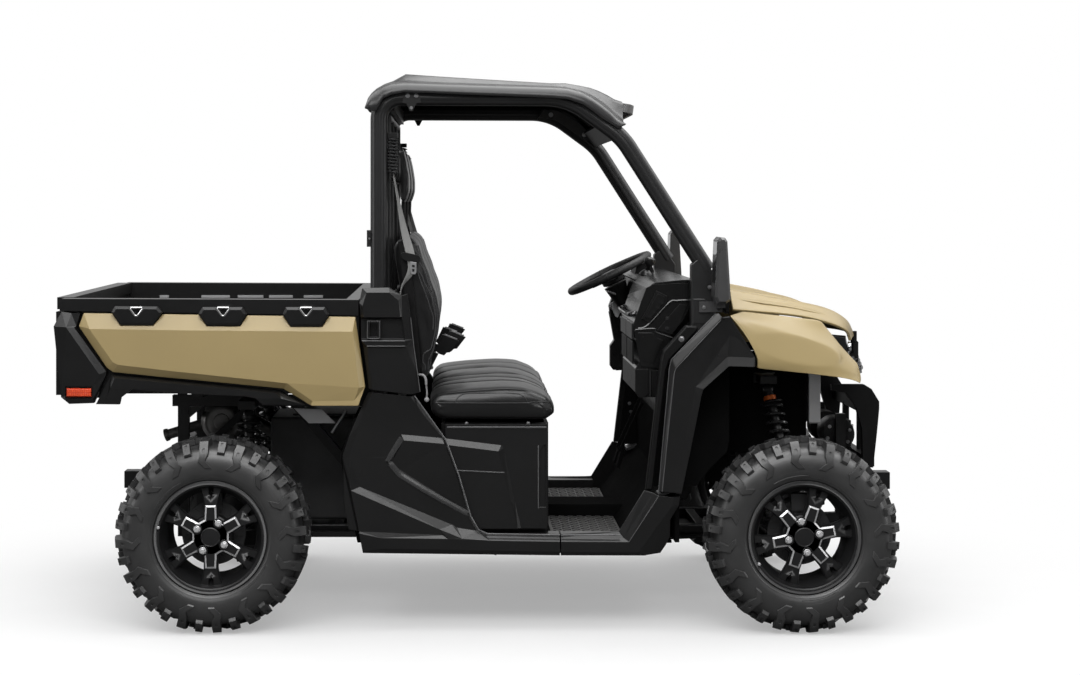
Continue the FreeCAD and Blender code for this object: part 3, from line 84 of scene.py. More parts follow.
world = bpy.data.worlds.new("studio")
SCENE.world = world
world.use_nodes = True
wt = world.node_tree
wt.nodes.clear()
w_out = wt.nodes.new("ShaderNodeOutputWorld")
w_mix = wt.nodes.new("ShaderNodeMixShader")
w_lp = wt.nodes.new("ShaderNodeLightPath")
w_cam = wt.nodes.new("ShaderNodeBackground")
w_cam.inputs["Color"].default_value = (1, 1, 1, 1)
w_cam.inputs["Strength"].default_value = 1.0
w_lit = wt.nodes.new("ShaderNodeBackground")
w_tc = wt.nodes.new("ShaderNodeTexCoord")
w_sep = wt.nodes.new("ShaderNodeSeparateXYZ")
w_ramp = wt.nodes.new("ShaderNodeValToRGB")
w_ramp.color_ramp.elements[0].position = 0.0
w_ramp.color_ramp.elements[0].color = (0.02, 0.02, 0.02, 1)
w_ramp.color_ramp.elements[1].position = 1.0
w_ramp.color_ramp.elements[1].color = (1.0, 1.0, 1.0, 1)
e = w_ramp.color_ramp.elements.new(0.30)
e.color = (0.10, 0.10, 0.10, 1)
e = w_ramp.color_ramp.elements.new(0.62)
e.color = (0.62, 0.62, 0.62, 1)
wt.links.new(w_tc.outputs["Generated"], w_sep.inputs[0])
wt.links.new(w_sep.outputs["Z"], w_ramp.inputs[0])
w_back = wt.nodes.new("ShaderNodeMapRange")
w_back.interpolation_type = "SMOOTHSTEP"
w_back.inputs["From Min"].default_value = 0.0
w_back.inputs["From Max"].default_value = 0.75
w_back.inputs["To Max"].default_value = 0.5
w_max = wt.nodes.new("ShaderNodeMath")
w_max.operation = "MAXIMUM"
wt.links.new(w_sep.outputs["Y"], w_back.inputs["Value"])
wt.links.new(w_ramp.outputs[0], w_max.inputs[0])
wt.links.new(w_back.outputs[0], w_max.inputs[1])
wt.links.new(w_max.outputs[0], w_lit.inputs["Color"])
w_lit.inputs["Strength"].default_value = 1.15
wt.links.new(w_lp.outputs["Is Camera Ray"], w_mix.inputs[0])
wt.links.new(w_lit.outputs[0], w_mix.inputs[1])
wt.links.new(w_cam.outputs[0], w_mix.inputs[2])
wt.links.new(w_mix.outputs[0], w_out.inputs[0])


def area(name, loc, target, sx, sy, power, glossy=True, diffuse=True):
    l = bpy.data.lights.new(name, "AREA")
    l.shape = "RECTANGLE"
    l.size, l.size_y = sx, sy
    l.energy = power
    o = bpy.data.objects.new(name, l)
    SCENE.collection.objects.link(o)
    o.location = loc
    d = Vector(target) - Vector(loc)
    o.rotation_euler = d.to_track_quat("-Z", "Y").to_euler()
    o.visible_camera = False
    o.visible_glossy = glossy
    o.visible_diffuse = diffuse
    return o


area("top_bank", (0.2, -0.3, 4.3), (0.1, -0.2, 0.6), 5.2, 3.4, 190, True, False)
area("top_fill", (0.0, -0.6, 4.4), (0.0, 0, 0.6), 5.0, 3.0, 54, False)
area("near_bank", (-0.5, -5.0, 4.6), (0.0, 0, 0.7), 5.6, 2.2, 172)
area("low_fill", (-0.4, -7.0, 2.4), (0.0, 0, 0.7), 6.0, 2.2, 60, False)
area("front_bank", (5.8, -1.3, 2.0), (0.9, -0.6, 1.2), 1.5, 3.4, 52, True, False)
area("fore_bank", (4.4, 1.3, 4.6), (1.0, -0.6, 1.4), 3.4, 3.4, 70, True, False)
area("front_fill", (5.5, -2.6, 2.6), (0.9, 0, 0.8), 1.2, 2.4, 20, False)
area("rear_bank", (-5.6, -1.3, 2.0), (-0.6, -0.6, 1.2), 1.5, 3.4, 42, True, False)
area("aft_bank", (-4.2, 1.1, 4.6), (-0.6, -0.6, 1.6), 3.0, 3.0, 90, True, False)
area("rear_fill", (-5.5, -1.6, 2.8), (-0.6, 0, 0.9), 1.2, 2.4, 24, False)


# ---------------------------------------------------------------- materials
def lin(r, g, b):
    def f(c):
        c /= 255.0
        return c / 12.92 if c <= 0.04045 else ((c + 0.055) / 1.055) ** 2.4
    return (f(r), f(g), f(b))


def surf(name, col, rough, metal=0.0, var=0.08, var_scale=5.0, grain=0.0, grain_scale=1400.0, rough_var=0.07,
         coat=0.0, coat_rough=0.15, spec=0.5, edge=0.0, dust=0.0, sheen=0.0, kind=None, k=1.0):
    """procedural surface: colour drift, fine grain in the normal, uneven gloss, lighter worn edges"""
    m = bpy.data.materials.new(name)
    m.use_nodes = True
    nt = m.node_tree
    n, l = nt.nodes, nt.links
    b = n["Principled BSDF"]
    b.inputs["Metallic"].default_value = metal
    b.inputs["Specular IOR Level"].default_value = spec
    b.inputs["Coat Weight"].default_value = coat
    b.inputs["Coat Roughness"].default_value = coat_rough
    if sheen:
        b.inputs["Sheen Weight"].default_value = sheen
        b.inputs["Sheen Roughness"].default_value = 0.4
    tc = n.new("ShaderNodeTexCoord")
    big = n.new("ShaderNodeTexNoise")
    big.inputs["Scale"].default_value = var_scale
    big.inputs["Detail"].default_value = 5.0
    l.new(tc.outputs["Object"], big.inputs["Vector"])
    ramp = n.new("ShaderNodeValToRGB")
    lo = [max(0.0, c * (1 - var)) for c in col]
    hi = [min(1.0, c * (1 + var)) for c in col]
    ramp.color_ramp.elements[0].position = 0.3
    ramp.color_ramp.elements[0].color = (*lo, 1)
    ramp.color_ramp.elements[1].position = 0.7
    ramp.color_ramp.elements[1].color = (*hi, 1)
    l.new(big.outputs["Fac"], ramp.inputs[0])
    colour = ramp.outputs[0]
    if edge:
        geo = n.new("ShaderNodeNewGeometry")
        er = n.new("ShaderNodeValToRGB")
        er.color_ramp.elements[0].position = 0.52
        er.color_ramp.elements[0].color = (0, 0, 0, 1)
        er.color_ramp.elements[1].position = 0.62
        er.color_ramp.elements[1].color = (edge, edge, edge, 1)
        l.new(geo.outputs["Pointiness"], er.inputs[0])
        mx = n.new("ShaderNodeMixRGB")
        mx.inputs[2].default_value = (*[min(1.0, c * 1.7 + 0.03) for c in col], 1)
        l.new(er.outputs[0], mx.inputs[0])
        l.new(colour, mx.inputs[1])
        colour = mx.outputs[0]
    if dust:
        g2 = n.new("ShaderNodeNewGeometry")
        sp = n.new("ShaderNodeSeparateXYZ")
        l.new(g2.outputs["Normal"], sp.inputs[0])
        mr = n.new("ShaderNodeMapRange")
        mr.inputs["From Min"].default_value = 0.2
        mr.inputs["From Max"].default_value = 1.0
        mr.inputs["To Max"].default_value = dust
        l.new(sp.outputs["Z"], mr.inputs["Value"])
        mx = n.new("ShaderNodeMixRGB")
        mx.inputs[2].default_value = (0.16, 0.155, 0.145, 1)
        l.new(mr.outputs[0], mx.inputs[0])
        l.new(colour, mx.inputs[1])
        colour = mx.outputs[0]
    l.new(colour, b.inputs["Base Color"])
    mid = n.new("ShaderNodeTexNoise")
    mid.inputs["Scale"].default_value = 38.0
    mid.inputs["Detail"].default_value = 6.0
    l.new(tc.outputs["Object"], mid.inputs["Vector"])
    rr = n.new("ShaderNodeMapRange")
    rr.inputs["To Min"].default_value = max(0.02, rough - rough_var)
    rr.inputs["To Max"].default_value = min(1.0, rough + rough_var)
    l.new(mid.outputs["Fac"], rr.inputs["Value"])
    l.new(rr.outputs[0], b.inputs["Roughness"])
    if kind == "weave":
        wv = n.new("ShaderNodeTexWave")
        wv.bands_direction = "Z"
        wv.inputs["Scale"].default_value = 160.0 * k
        wv.inputs["Distortion"].default_value = 0.6
        w2 = n.new("ShaderNodeTexWave")
        w2.bands_direction = "Y"
        w2.inputs["Scale"].default_value = 110.0 * k
        l.new(tc.outputs["Object"], wv.inputs["Vector"])
        l.new(tc.outputs["Object"], w2.inputs["Vector"])
        ad = n.new("ShaderNodeMath")
        ad.operation = "ADD"
        l.new(wv.outputs["Fac"], ad.inputs[0])
        l.new(w2.outputs["Fac"], ad.inputs[1])
        height = ad.outputs[0]
    elif kind == "cells":
        vo = n.new("ShaderNodeTexVoronoi")
        vo.inputs["Scale"].default_value = grain_scale
        l.new(tc.outputs["Object"], vo.inputs["Vector"])
        fine = n.new("ShaderNodeTexNoise")
        fine.inputs["Scale"].default_value = grain_scale * 0.35
        fine.inputs["Detail"].default_value = 3.0
        l.new(tc.outputs["Object"], fine.inputs["Vector"])
        ad = n.new("ShaderNodeMath")
        ad.operation = "ADD"
        l.new(vo.outputs["Distance"], ad.inputs[0])
        l.new(fine.outputs["Fac"], ad.inputs[1])
        height = ad.outputs[0]
    elif kind == "brushed":
        mp = n.new("ShaderNodeMapping")
        mp.inputs["Scale"].default_value = (30.0, 900.0, 900.0)
        l.new(tc.outputs["Object"], mp.inputs["Vector"])
        fine = n.new("ShaderNodeTexNoise")
        fine.inputs["Scale"].default_value = 1.0
        fine.inputs["Detail"].default_value = 4.0
        l.new(mp.outputs[0], fine.inputs["Vector"])
        height = fine.outputs["Fac"]
    else:
        fine = n.new("ShaderNodeTexNoise")
        fine.inputs["Scale"].default_value = min(grain_scale, 420.0)
        fine.inputs["Detail"].default_value = 3.0
        l.new(tc.outputs["Object"], fine.inputs["Vector"])
        height = fine.outputs["Fac"]
    if grain:
        bp = n.new("ShaderNodeBump")
        bp.inputs["Strength"].default_value = grain
        bp.inputs["Distance"].default_value = 0.00003 if grain_scale > 400 and kind is None else (0.00008 if kind == "cells" else 0.0004)
        l.new(height, bp.inputs["Height"])
        l.new(bp.outputs[0], b.inputs["Normal"])
    return m


BLACK = (0.018, 0.018, 0.0185)
MAT = {
    "plastic": surf("plastic_grained", (0.0085, 0.0085, 0.0087), 0.30, var=0.16, grain=0.45, grain_scale=1500, edge=0.0, spec=0.5, rough_var=0.05),
    # darker copy of the black plastic for jambs, rear wall, insets and other parts that sit in shade: painted shade
    "plastic_dark": surf("plastic_dark_painted_shade", (0.0035, 0.0035, 0.0036), 0.45, var=0.2, grain=0.3, grain_scale=1100, spec=0.28),
    "roof": surf("plastic_roof", (0.016, 0.016, 0.0164), 0.30, var=0.12, grain=0.3, grain_scale=1600),
    "tan": surf("moulded_tan", lin(172, 152, 106), 0.4, var=0.035, var_scale=3.0, grain=0.08, grain_scale=900, rough_var=0.05, coat=0.1, coat_rough=0.25),
    "cage": surf("powder_coat", (0.017, 0.017, 0.0174), 0.33, var=0.2, grain=0.02, grain_scale=300, rough_var=0.03),
    "steel_black": surf("steel_black", (0.008, 0.008, 0.0083), 0.36, var=0.25, grain=0.3, grain_scale=900, edge=0.3),
    "cast": surf("cast_metal", (0.10, 0.10, 0.102), 0.55, metal=0.7, var=0.2, grain=0.6, grain_scale=500),
    "alloy": surf("bare_alloy", (0.52, 0.52, 0.53), 0.38, metal=0.9, var=0.08, grain=0.25, kind="brushed"),
    "grey_panel": surf("grey_panel", (0.33, 0.33, 0.335), 0.5, var=0.06, grain=0.2, grain_scale=700),
    "chrome": surf("polished_steel", (0.8, 0.8, 0.8), 0.12, metal=1.0, var=0.03, grain=0.04, rough_var=0.04),
    "zinc": surf("zinc_fastener", (0.55, 0.55, 0.56), 0.3, metal=1.0, var=0.1, grain=0.2, grain_scale=800),
    "machined": surf("machined_edge", (0.82, 0.82, 0.83), 0.24, metal=0.6, var=0.03, grain=0.1, kind="brushed", rough_var=0.05),
    "rim": surf("rim_satin", (0.012, 0.012, 0.0125), 0.36, metal=0.1, var=0.12, grain=0.12, grain_scale=1800, coat=0.1),
    "tyre": surf("tyre_rubber", (0.028, 0.028, 0.0283), 0.42, var=0.25, var_scale=14.0, grain=0.6, grain_scale=900, spec=0.95),
    "vinyl": surf("seat_vinyl", (0.008, 0.008, 0.0082), 0.33, var=0.12, grain=0.22, grain_scale=520, kind="cells", sheen=0.05),
    "vinyl_side": surf("seat_vinyl_side", (0.022, 0.022, 0.0225), 0.52, var=0.12, grain=0.6, grain_scale=420, kind="cells"),
    "web": surf("belt_webbing", (0.26, 0.26, 0.255), 0.7, var=0.06, grain=0.9, kind="weave", sheen=0.2),
    "mat": surf("floor_mat", (0.05, 0.05, 0.05), 0.5, var=0.3, var_scale=20, grain=0.5, grain_scale=600, dust=0.35),
    "glass_dark": surf("display_lens", (0.008, 0.008, 0.009), 0.08, var=0.05, grain=0.02, rough_var=0.03, coat=0.8, coat_rough=0.03),
    "tail": surf("tail_lens", (0.62, 0.055, 0.02), 0.2, var=0.1, var_scale=60, grain=0.3, grain_scale=260, coat=0.6, coat_rough=0.06),
    "tail_hi": surf("tail_lens_bright", (0.8, 0.10, 0.035), 0.16, var=0.12, var_scale=60, grain=0.35, grain_scale=260, coat=0.6, coat_rough=0.06),
    "orange": surf("orange_cap", (0.62, 0.13, 0.02), 0.35, metal=0.3, var=0.1, grain=0.15),
    "spring": surf("spring_steel", (0.016, 0.016, 0.0165), 0.2, var=0.15, grain=0.1, coat=0.6, coat_rough=0.08),
    "muffler": surf("muffler_skin", (0.24, 0.235, 0.23), 0.32, metal=0.85, var=0.2, var_scale=18, grain=0.4, grain_scale=300),
    "decal": surf("plain_badge", (0.1, 0.1, 0.1), 0.4),
    "mirror": surf("mirror_glass", (0.30, 0.305, 0.315), 0.05, metal=1.0, var=0.02, rough_var=0.01),
    "reflector": surf("lamp_bowl", (0.75, 0.76, 0.78), 0.16, metal=1.0, var=0.05, grain=0.1),
    "dash": surf("dash_grained", (0.0055, 0.0055, 0.0056), 0.24, var=0.2, grain=0.3, grain_scale=900, spec=0.55),
    "tank": surf("radiator_tank", (0.72, 0.72, 0.73), 0.4, metal=0.2, var=0.06, grain=0.2),
    "bellows": surf("bellows_rubber", (0.05, 0.05, 0.051), 0.25, var=0.2, grain=0.2, coat=0.5),
    "mirror_shell": surf("mirror_housing", (0.06, 0.06, 0.061), 0.3, var=0.15, grain=0.3),
    # lighter copy of the panel plastic for the raised side-panel band: painted highlight
    "band": surf("panel_band_painted_highlight", (0.036, 0.036, 0.0365), 0.26, var=0.1, grain=0.2),
    "plate": surf("steel_plate", (0.05, 0.05, 0.052), 0.3, var=0.1, grain=0.2),
    "bolt": surf("bolt_zinc", (0.55, 0.56, 0.57), 0.3, metal=1.0, var=0.1, grain=0.2),
    # light grey for the rolled lips and seat-base trim, far lighter than the panels they edge: painted highlight along
    # the edges
    "lip": surf("panel_lip_painted_highlight", (0.10, 0.10, 0.102), 0.24, var=0.1, grain=0.1),
    "visor": surf("plastic_visor", (0.22, 0.22, 0.222), 0.35, var=0.1, grain=0.15),
    "gloss": surf("gloss_trim", (0.02, 0.02, 0.0205), 0.16, var=0.1, grain=0.04, rough_var=0.04, coat=0.4, coat_rough=0.08),
    # near-black, almost non-reflecting copy of the black plastic for the floor pan, arch liners and gussets deep in the
    # cab and arches: painted shade
    "floor": surf("floor_inner_painted_shade", (0.006, 0.006, 0.0061), 0.85, var=0.25, grain=0.5, grain_scale=900, spec=0.02),
    "grip": surf("grip_rubber", (0.014, 0.014, 0.0142), 0.5, var=0.15, grain=0.6, grain_scale=700, kind="cells"),
    "copper": surf("radiator_core", (0.2, 0.2, 0.205), 0.4, metal=0.8, var=0.1, grain=0.3),
}


def lens_mat():
    m = surf("clear_lens", (0.30, 0.31, 0.32), 0.08, var=0.03, grain=0.05, rough_var=0.03, coat=0.6, coat_rough=0.04)
    b = m.node_tree.nodes["Principled BSDF"]
    b.inputs["Transmission Weight"].default_value = 0.6
    b.inputs["IOR"].default_value = 1.45
    return m


MAT["lens"] = lens_mat()


# ---------------------------------------------------------------- mesh tools
class Mesh:
    def __init__(self):
        self.v, self.f, self.m = [], [], []

    def add(self, vs, fs, m=0):
        o = len(self.v)
        self.v += [tuple(p) for p in vs]
        self.f += [tuple(i + o for i in f) for f in fs]
        self.m += [m] * len(fs)
        return self

    def mirrored(self):
        n = Mesh()
        n.v = [(x, -y, z) for x, y, z in self.v]
        n.f = [tuple(reversed(f)) for f in self.f]
        n.m = list(self.m)
        return n

    def join(self, other):
        o = len(self.v)
        self.v += other.v
        self.f += [tuple(i + o for i in f) for f in other.f]
        self.m += other.m
        return self


def mirror(m):
    return m.mirrored()


def obj(name, mesh, mats, body, bevel=0.0, seg=2, angle=32, sub=0, outward=True, flat=False, weld=False):
    me = bpy.data.meshes.new(name)
    me.from_pydata([((x - X0) * S, y * S, z * S) for x, y, z in mesh.v], [], mesh.f)
    for mt in mats:
        me.materials.append(MAT[mt] if isinstance(mt, str) else mt)
    me.polygons.foreach_set("material_index", mesh.m)
    me.validate()
    if outward or weld:
        bm = bmesh.new()
        bm.from_mesh(me)
        if weld:
            bmesh.ops.remove_doubles(bm, verts=bm.verts, dist=0.00002)
        if outward:
            bmesh.ops.recalc_face_normals(bm, faces=bm.faces)
        bm.to_mesh(me)
        bm.free()
    if not flat:
        me.polygons.foreach_set("use_smooth", [True] * len(me.polygons))
        me.set_sharp_from_angle(angle=math.radians(angle))
    me.update()
    o = bpy.data.objects.new(name, me)
    SCENE.collection.objects.link(o)
    if bevel:
        b = o.modifiers.new("edges", "BEVEL")
        b.width = bevel * S
        b.segments = seg
        b.limit_method = "ANGLE"
        b.angle_limit = math.radians(28)
        b.harden_normals = True
    if sub:
        s = o.modifiers.new("smooth", "SUBSURF")
        s.levels = s.render_levels = sub
    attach(o, body)
    return o


def boxm(x0, x1, y0, y1, z0, z1):
    vs = [(x, y, z) for z in (z0, z1) for y in (y0, y1) for x in (x0, x1)]
    fs = [(0, 2, 3, 1), (4, 5, 7, 6), (0, 1, 5, 4), (2, 6, 7, 3), (0, 4, 6, 2), (1, 3, 7, 5)]
    return vs, fs


def frame_of(d, up=Vector((0, 0, 1))):
    d = Vector(d).normalized()
    if abs(d.dot(up)) > 0.98:
        up = Vector((0, 1, 0)) if abs(d.y) < 0.9 else Vector((1, 0, 0))
    a = d.cross(up).normalized()
    return d, a, a.cross(d).normalized()


def cylm(p, q, r0, r1=None, n=20, caps=True):
    r1 = r0 if r1 is None else r1
    p, q = Vector(p), Vector(q)
    d, a, b = frame_of(q - p)
    vs = []
    for c, r in ((p, r0), (q, r1)):
        for i in range(n):
            t = 2 * math.pi * i / n
            vs.append(c + a * (r * math.cos(t)) + b * (r * math.sin(t)))
    fs = [(i, (i + 1) % n, n + (i + 1) % n, n + i) for i in range(n)]
    if caps:
        fs += [tuple(range(n - 1, -1, -1)), tuple(range(n, 2 * n))]
    return vs, fs


def lathe(profile, c, axis, n=48, closed=False, a0=0.0):
    """profile of (along, radius) turned round axis through c"""
    d, a, b = frame_of(axis)
    c = Vector(c)
    vs, fs = [], []
    m = len(profile)
    for i in range(n):
        t = 2 * math.pi * i / n + a0
        e = a * math.cos(t) + b * math.sin(t)
        for y, r in profile:
            vs.append(c + d * y + e * r)
    for i in range(n):
        k = (i + 1) % n
        for j in range(m if closed else m - 1):
            j2 = (j + 1) % m
            fs.append((i * m + j, i * m + j2, k * m + j2, k * m + j))
    if not closed:
        for j in (0, m - 1):
            if profile[j][1] > 0.5:
                f = [i * m + j for i in range(n)]
                fs.append(tuple(f if j else reversed(f)))
    return vs, fs


def sweep(path, section, closed_path=False, up=Vector((0, 0, 1)), scale=None, cap=True):
    """section of (a, b) points carried along path with a steady frame"""
    path = [Vector(p) for p in path]
    n = len(path)
    m = len(section)
    vs, fs = [], []
    prev_a = None
    for i, p in enumerate(path):
        if closed_path:
            t = path[(i + 1) % n] - path[i - 1]
        else:
            t = path[min(i + 1, n - 1)] - path[max(i - 1, 0)]
        t.normalize()
        if prev_a is None:
            a = t.cross(up)
            if a.length < 1e-3:
                a = t.cross(Vector((1, 0, 0)))
        else:
            a = prev_a - t * prev_a.dot(t)
        a.normalize()
        prev_a = a
        b = a.cross(t).normalized()
        k = scale[i] if scale else 1.0
        for u, w in section:
            vs.append(p + a * (u * k) + b * (w * k))
    last = n if closed_path else n - 1
    for i in range(last):
        k = (i + 1) % n
        for j in range(m):
            j2 = (j + 1) % m
            fs.append((i * m + j, i * m + j2, k * m + j2, k * m + j))
    if not closed_path and cap:
        fs.append(tuple(range(m - 1, -1, -1)))
        fs.append(tuple((n - 1) * m + j for j in range(m)))
    return vs, fs


def circle(r, n=10, sx=1.0):
    return [(r * sx * math.cos(2 * math.pi * i / n), r * math.sin(2 * math.pi * i / n)) for i in range(n)]


def curve_pts(pts, n=8):
    """smooth points through pts (Catmull-Rom)"""
    pts = [Vector(p) for p in pts]
    out = []
    for i in range(len(pts) - 1):
        p0, p1, p2, p3 = pts[max(i - 1, 0)], pts[i], pts[i + 1], pts[min(i + 2, len(pts) - 1)]
        for k in range(n):
            t = k / n
            out.append(0.5 * ((2 * p1) + (-p0 + p2) * t + (2 * p0 - 5 * p1 + 4 * p2 - p3) * t * t + (-p0 + 3 * p1 - 3 * p2 + p3) * t ** 3))
    out.append(pts[-1])
    return out


def prism(pts, y0, y1):
    """polygon of (x, z) between two y planes"""
    n = len(pts)
    vs = [(x, y0, z) for x, z in pts] + [(x, y1, z) for x, z in pts]
    fs = [tuple(range(n)), tuple(range(2 * n - 1, n - 1, -1))] + [(i, n + i, n + (i + 1) % n, (i + 1) % n) for i in range(n)]
    return vs, fs


def bolt(c, axis, r=7.0, h=5.0, washer=1.45):
    """flanged hexagon head"""
    d, a, b = frame_of(axis)
    c = Vector(c)
    m = Mesh()
    m.add(*cylm(c - d * 1.5, c + d * 1.6, r * washer, r * washer * 0.94, 20))
    vs = []
    for h0, k in ((1.2, 1.0), (h * 0.8, 1.0), (h, 0.86)):
        for i in range(6):
            t = math.pi / 3 * i
            vs.append(c + d * h0 + (a * math.cos(t) + b * math.sin(t)) * r * k)
    fs = [(j * 6 + i, j * 6 + (i + 1) % 6, (j + 1) * 6 + (i + 1) % 6, (j + 1) * 6 + i) for j in range(2) for i in range(6)]
    fs.append(tuple(range(12, 18)))
    m.add(vs, fs)
    return m


# ---------------------------------------------------------------- CAD nodes that stay
KEEP = {}


def keep(node, mat, bevel=2.5, seg=2, angle=28):
    o = NODES[node]
    me = o.data
    me.materials.clear()
    me.materials.append(MAT[mat])
    w = o.modifiers.new("weld", "WELD")
    w.merge_threshold = 0.00002
    if bevel:
        b = o.modifiers.new("edges", "BEVEL")
        b.width = bevel * S
        b.segments = seg
        b.limit_method = "ANGLE"
        b.angle_limit = math.radians(angle)
        b.harden_normals = False
    KEEP[node] = o


RIDGED = ("side_panels", "front_fenders", "pillar_covers", "bed_trims", "bed_side_panels", "seat_base")
for nd, mt, bv in (
        # the door jambs and rear wall take the darker plastic as painted shade; the floor pan and arch liners take the
        # near-black floor plastic as painted shade
        ("side_panels", "plastic", 4.0), ("front_fenders", "plastic", 4.5), ("door_jambs", "plastic_dark", 3.0), ("pillar_covers", "plastic", 3.2),
        ("bed_side_panels", "tan", 2.6), ("bed_trims", "plastic", 3.0), ("fender_panels", "tan", 9.0), ("wheel_arch_liners", "floor", 2.0),
        ("cargo_bed", "plastic", 3.0), ("tailgate", "plastic", 4.0), ("seat_base", "plastic", 4.0), ("dashboard", "dash", 5.0),
        ("nose_panel", "plastic", 4.0), ("floor_pan", "floor", 2.0), ("rear_wall", "plastic_dark", 2.0),
        ("frame_rails", "steel_black", 3.0), ("frame_crossmembers", "steel_black", 3.0), ("rear_frame", "steel_black", 3.0), ("front_frame", "steel_black", 3.0),
        ("hitch_receivers", "steel_black", 2.0), ("skid_plate", "plastic_dark", 1.5), ("front_bumper", "plastic_dark", 7.0), ("winch", "steel_black", 2.0),
        ("radiator", "alloy", 2.0), ("engine_block", "cast", 8.0), ("exhaust_muffler", "muffler", 3.0), ("driveline", "cast", 3.0),
        ("suspension_arms", "steel_black", 1.5), ("steering_rack", "alloy", 1.5), ("rear_knuckles", "cast", 2.5), ("front_knuckle_left", "cast", 2.5),
        ("front_knuckle_right", "cast", 2.5), ("cage_hoop_left", "cage", 0.0), ("cage_hoop_right", "cage", 0.0), ("cage_cross_tubes", "cage", 0.0),
        ("roof", "roof", 0.0), ("hood", "tan", 0.0), ("rear_screen", "steel_black", 0.8), ("steering_column", "plastic_dark", 2.5),
        ("driver_controls", "floor", 1.5), ("instrument_display", "glass_dark", 3.0), ("side_mirrors", "mirror_shell", 5.0),
        ("headlights", "glass_dark", 2.0), ("tail_lights", "tail", 1.5), ("lift_strut_barrel", "steel_black", 0.8), ("lift_strut_rod", "chrome", 0.4),
        ("seat_cushions", "vinyl", 12.0), ("seat_backs", "vinyl", 12.0), ("headrests", "vinyl", 12.0), ("seat_belts", "web", 0.0),
        ("shock_absorbers", "spring", 1.5), ("steering_wheel", "grip", 1.0)):
    keep(nd, mt, bv, 3 if nd in RIDGED else 2, 9 if nd in RIDGED else 28)
for w in ("front_left", "front_right", "rear_left", "rear_right"):
    keep("tyre_" + w, "tyre", 0.0)
    keep("rim_" + w, "rim", 1.5)


# ---------------------------------------------------------------- padded seats
def pad_mesh(ts, fa, fb, y0, y1, r, mp, ys_extra=(), nring=5, step=13.0, crown=6.0, pinch=5.0):
    """closed cushion: two faces fa(t), fb(t) over the long axis t, from y0 to y1, edges rounded by r"""
    n = len(ts)
    top = [(t, fa(t)) for t in ts]
    bot = [(t, fb(t)) for t in ts]
    ring = top + bot[::-1]
    m = len(ring)

    def normal(i):
        a, b = ring[i - 1], ring[(i + 1) % m]
        d = Vector((b[0] - a[0], b[1] - a[1]))
        d.normalize()
        return Vector((-d.y, d.x))
    nrm = [normal(i) for i in range(m)]
    cen = Vector((sum(p[0] for p in ring) / m, sum(p[1] for p in ring) / m))
    for i in range(m):
        if nrm[i].dot(cen - Vector(ring[i])) < 0 and abs(nrm[i].dot((cen - Vector(ring[i])).normalized())) > 0.05:
            nrm[i] = -nrm[i]
    ys = []
    k = 0
    while True:
        a = k / 5.0 * (math.pi / 2)
        ys.append((y0 + r * (1 - math.sin(a)) if False else y0 + r * (1 - math.cos(a)), r * (1 - math.sin(a))))
        k += 1
        if k > 5:
            break
    body = []
    cnt = max(2, int((y1 - y0 - 2 * r) / step))
    for j in range(1, cnt):
        body.append(y0 + r + (y1 - y0 - 2 * r) * j / cnt)
    for e in ys_extra:
        b = min(range(len(body)), key=lambda q: abs(body[q] - e))
        body[b] = e
    st = ys + [(y, 0.0) for y in sorted(body)] + [(y1 + y0 - y, i) for y, i in reversed(ys)]
    bm = bmesh.new()
    tag = bm.verts.layers.int.new("seam")
    half = (y1 - y0) / 2
    yc = (y0 + y1) / 2

    def vert(t, w, y):
        x, z = mp(t, w)
        return bm.verts.new(((x - X0) * S, y * S, z * S))
    rows = []
    for y, ins in st:
        v = abs(y - yc) / half
        row = []
        for i in range(m):
            p = Vector(ring[i]) + nrm[i] * ins
            if i < n:                                  # crowned face, pinched towards its ends
                p = p + nrm[i] * (-(crown * (1 - v * v)) + 0.0)
            vv = vert(p.x, p.y, y)
            if i < n and any(abs(y - e) < 0.5 for e in ys_extra):
                vv[tag] = 1
            row.append(vv)
        rows.append(row)
    for a, b in zip(rows, rows[1:]):
        for i in range(m):
            bm.faces.new((a[i], a[(i + 1) % m], b[(i + 1) % m], b[i]))
    lo, hi = min(ts), max(ts)
    mid = [(min(max(p[0], lo + 38), hi - 38), 0.5 * (fa(min(max(p[0], lo + 38), hi - 38)) + fb(min(max(p[0], lo + 38), hi - 38)))) for p in ring]
    for row, y, ins in ((rows[0], y0, ys[0][1]), (rows[-1], y1, ys[0][1])):
        prev = row
        for q in range(1, nring + 1):
            f = q / nring
            cur = []
            for i in range(m):
                p = (Vector(ring[i]) + nrm[i] * ins) * (1 - f) + Vector(mid[i]) * f
                cur.append(vert(p.x, p.y, y))
            for i in range(m):
                quad = (prev[i], prev[(i + 1) % m], cur[(i + 1) % m], cur[i])
                bm.faces.new(quad)
            prev = cur
    bmesh.ops.remove_doubles(bm, verts=bm.verts, dist=0.0006)
    bmesh.ops.dissolve_degenerate(bm, edges=bm.edges, dist=0.0002)
    holes = [e for e in bm.edges if e.is_boundary]
    if holes:
        bmesh.ops.holes_fill(bm, edges=holes)
    bmesh.ops.recalc_face_normals(bm, faces=bm.faces)
    return bm


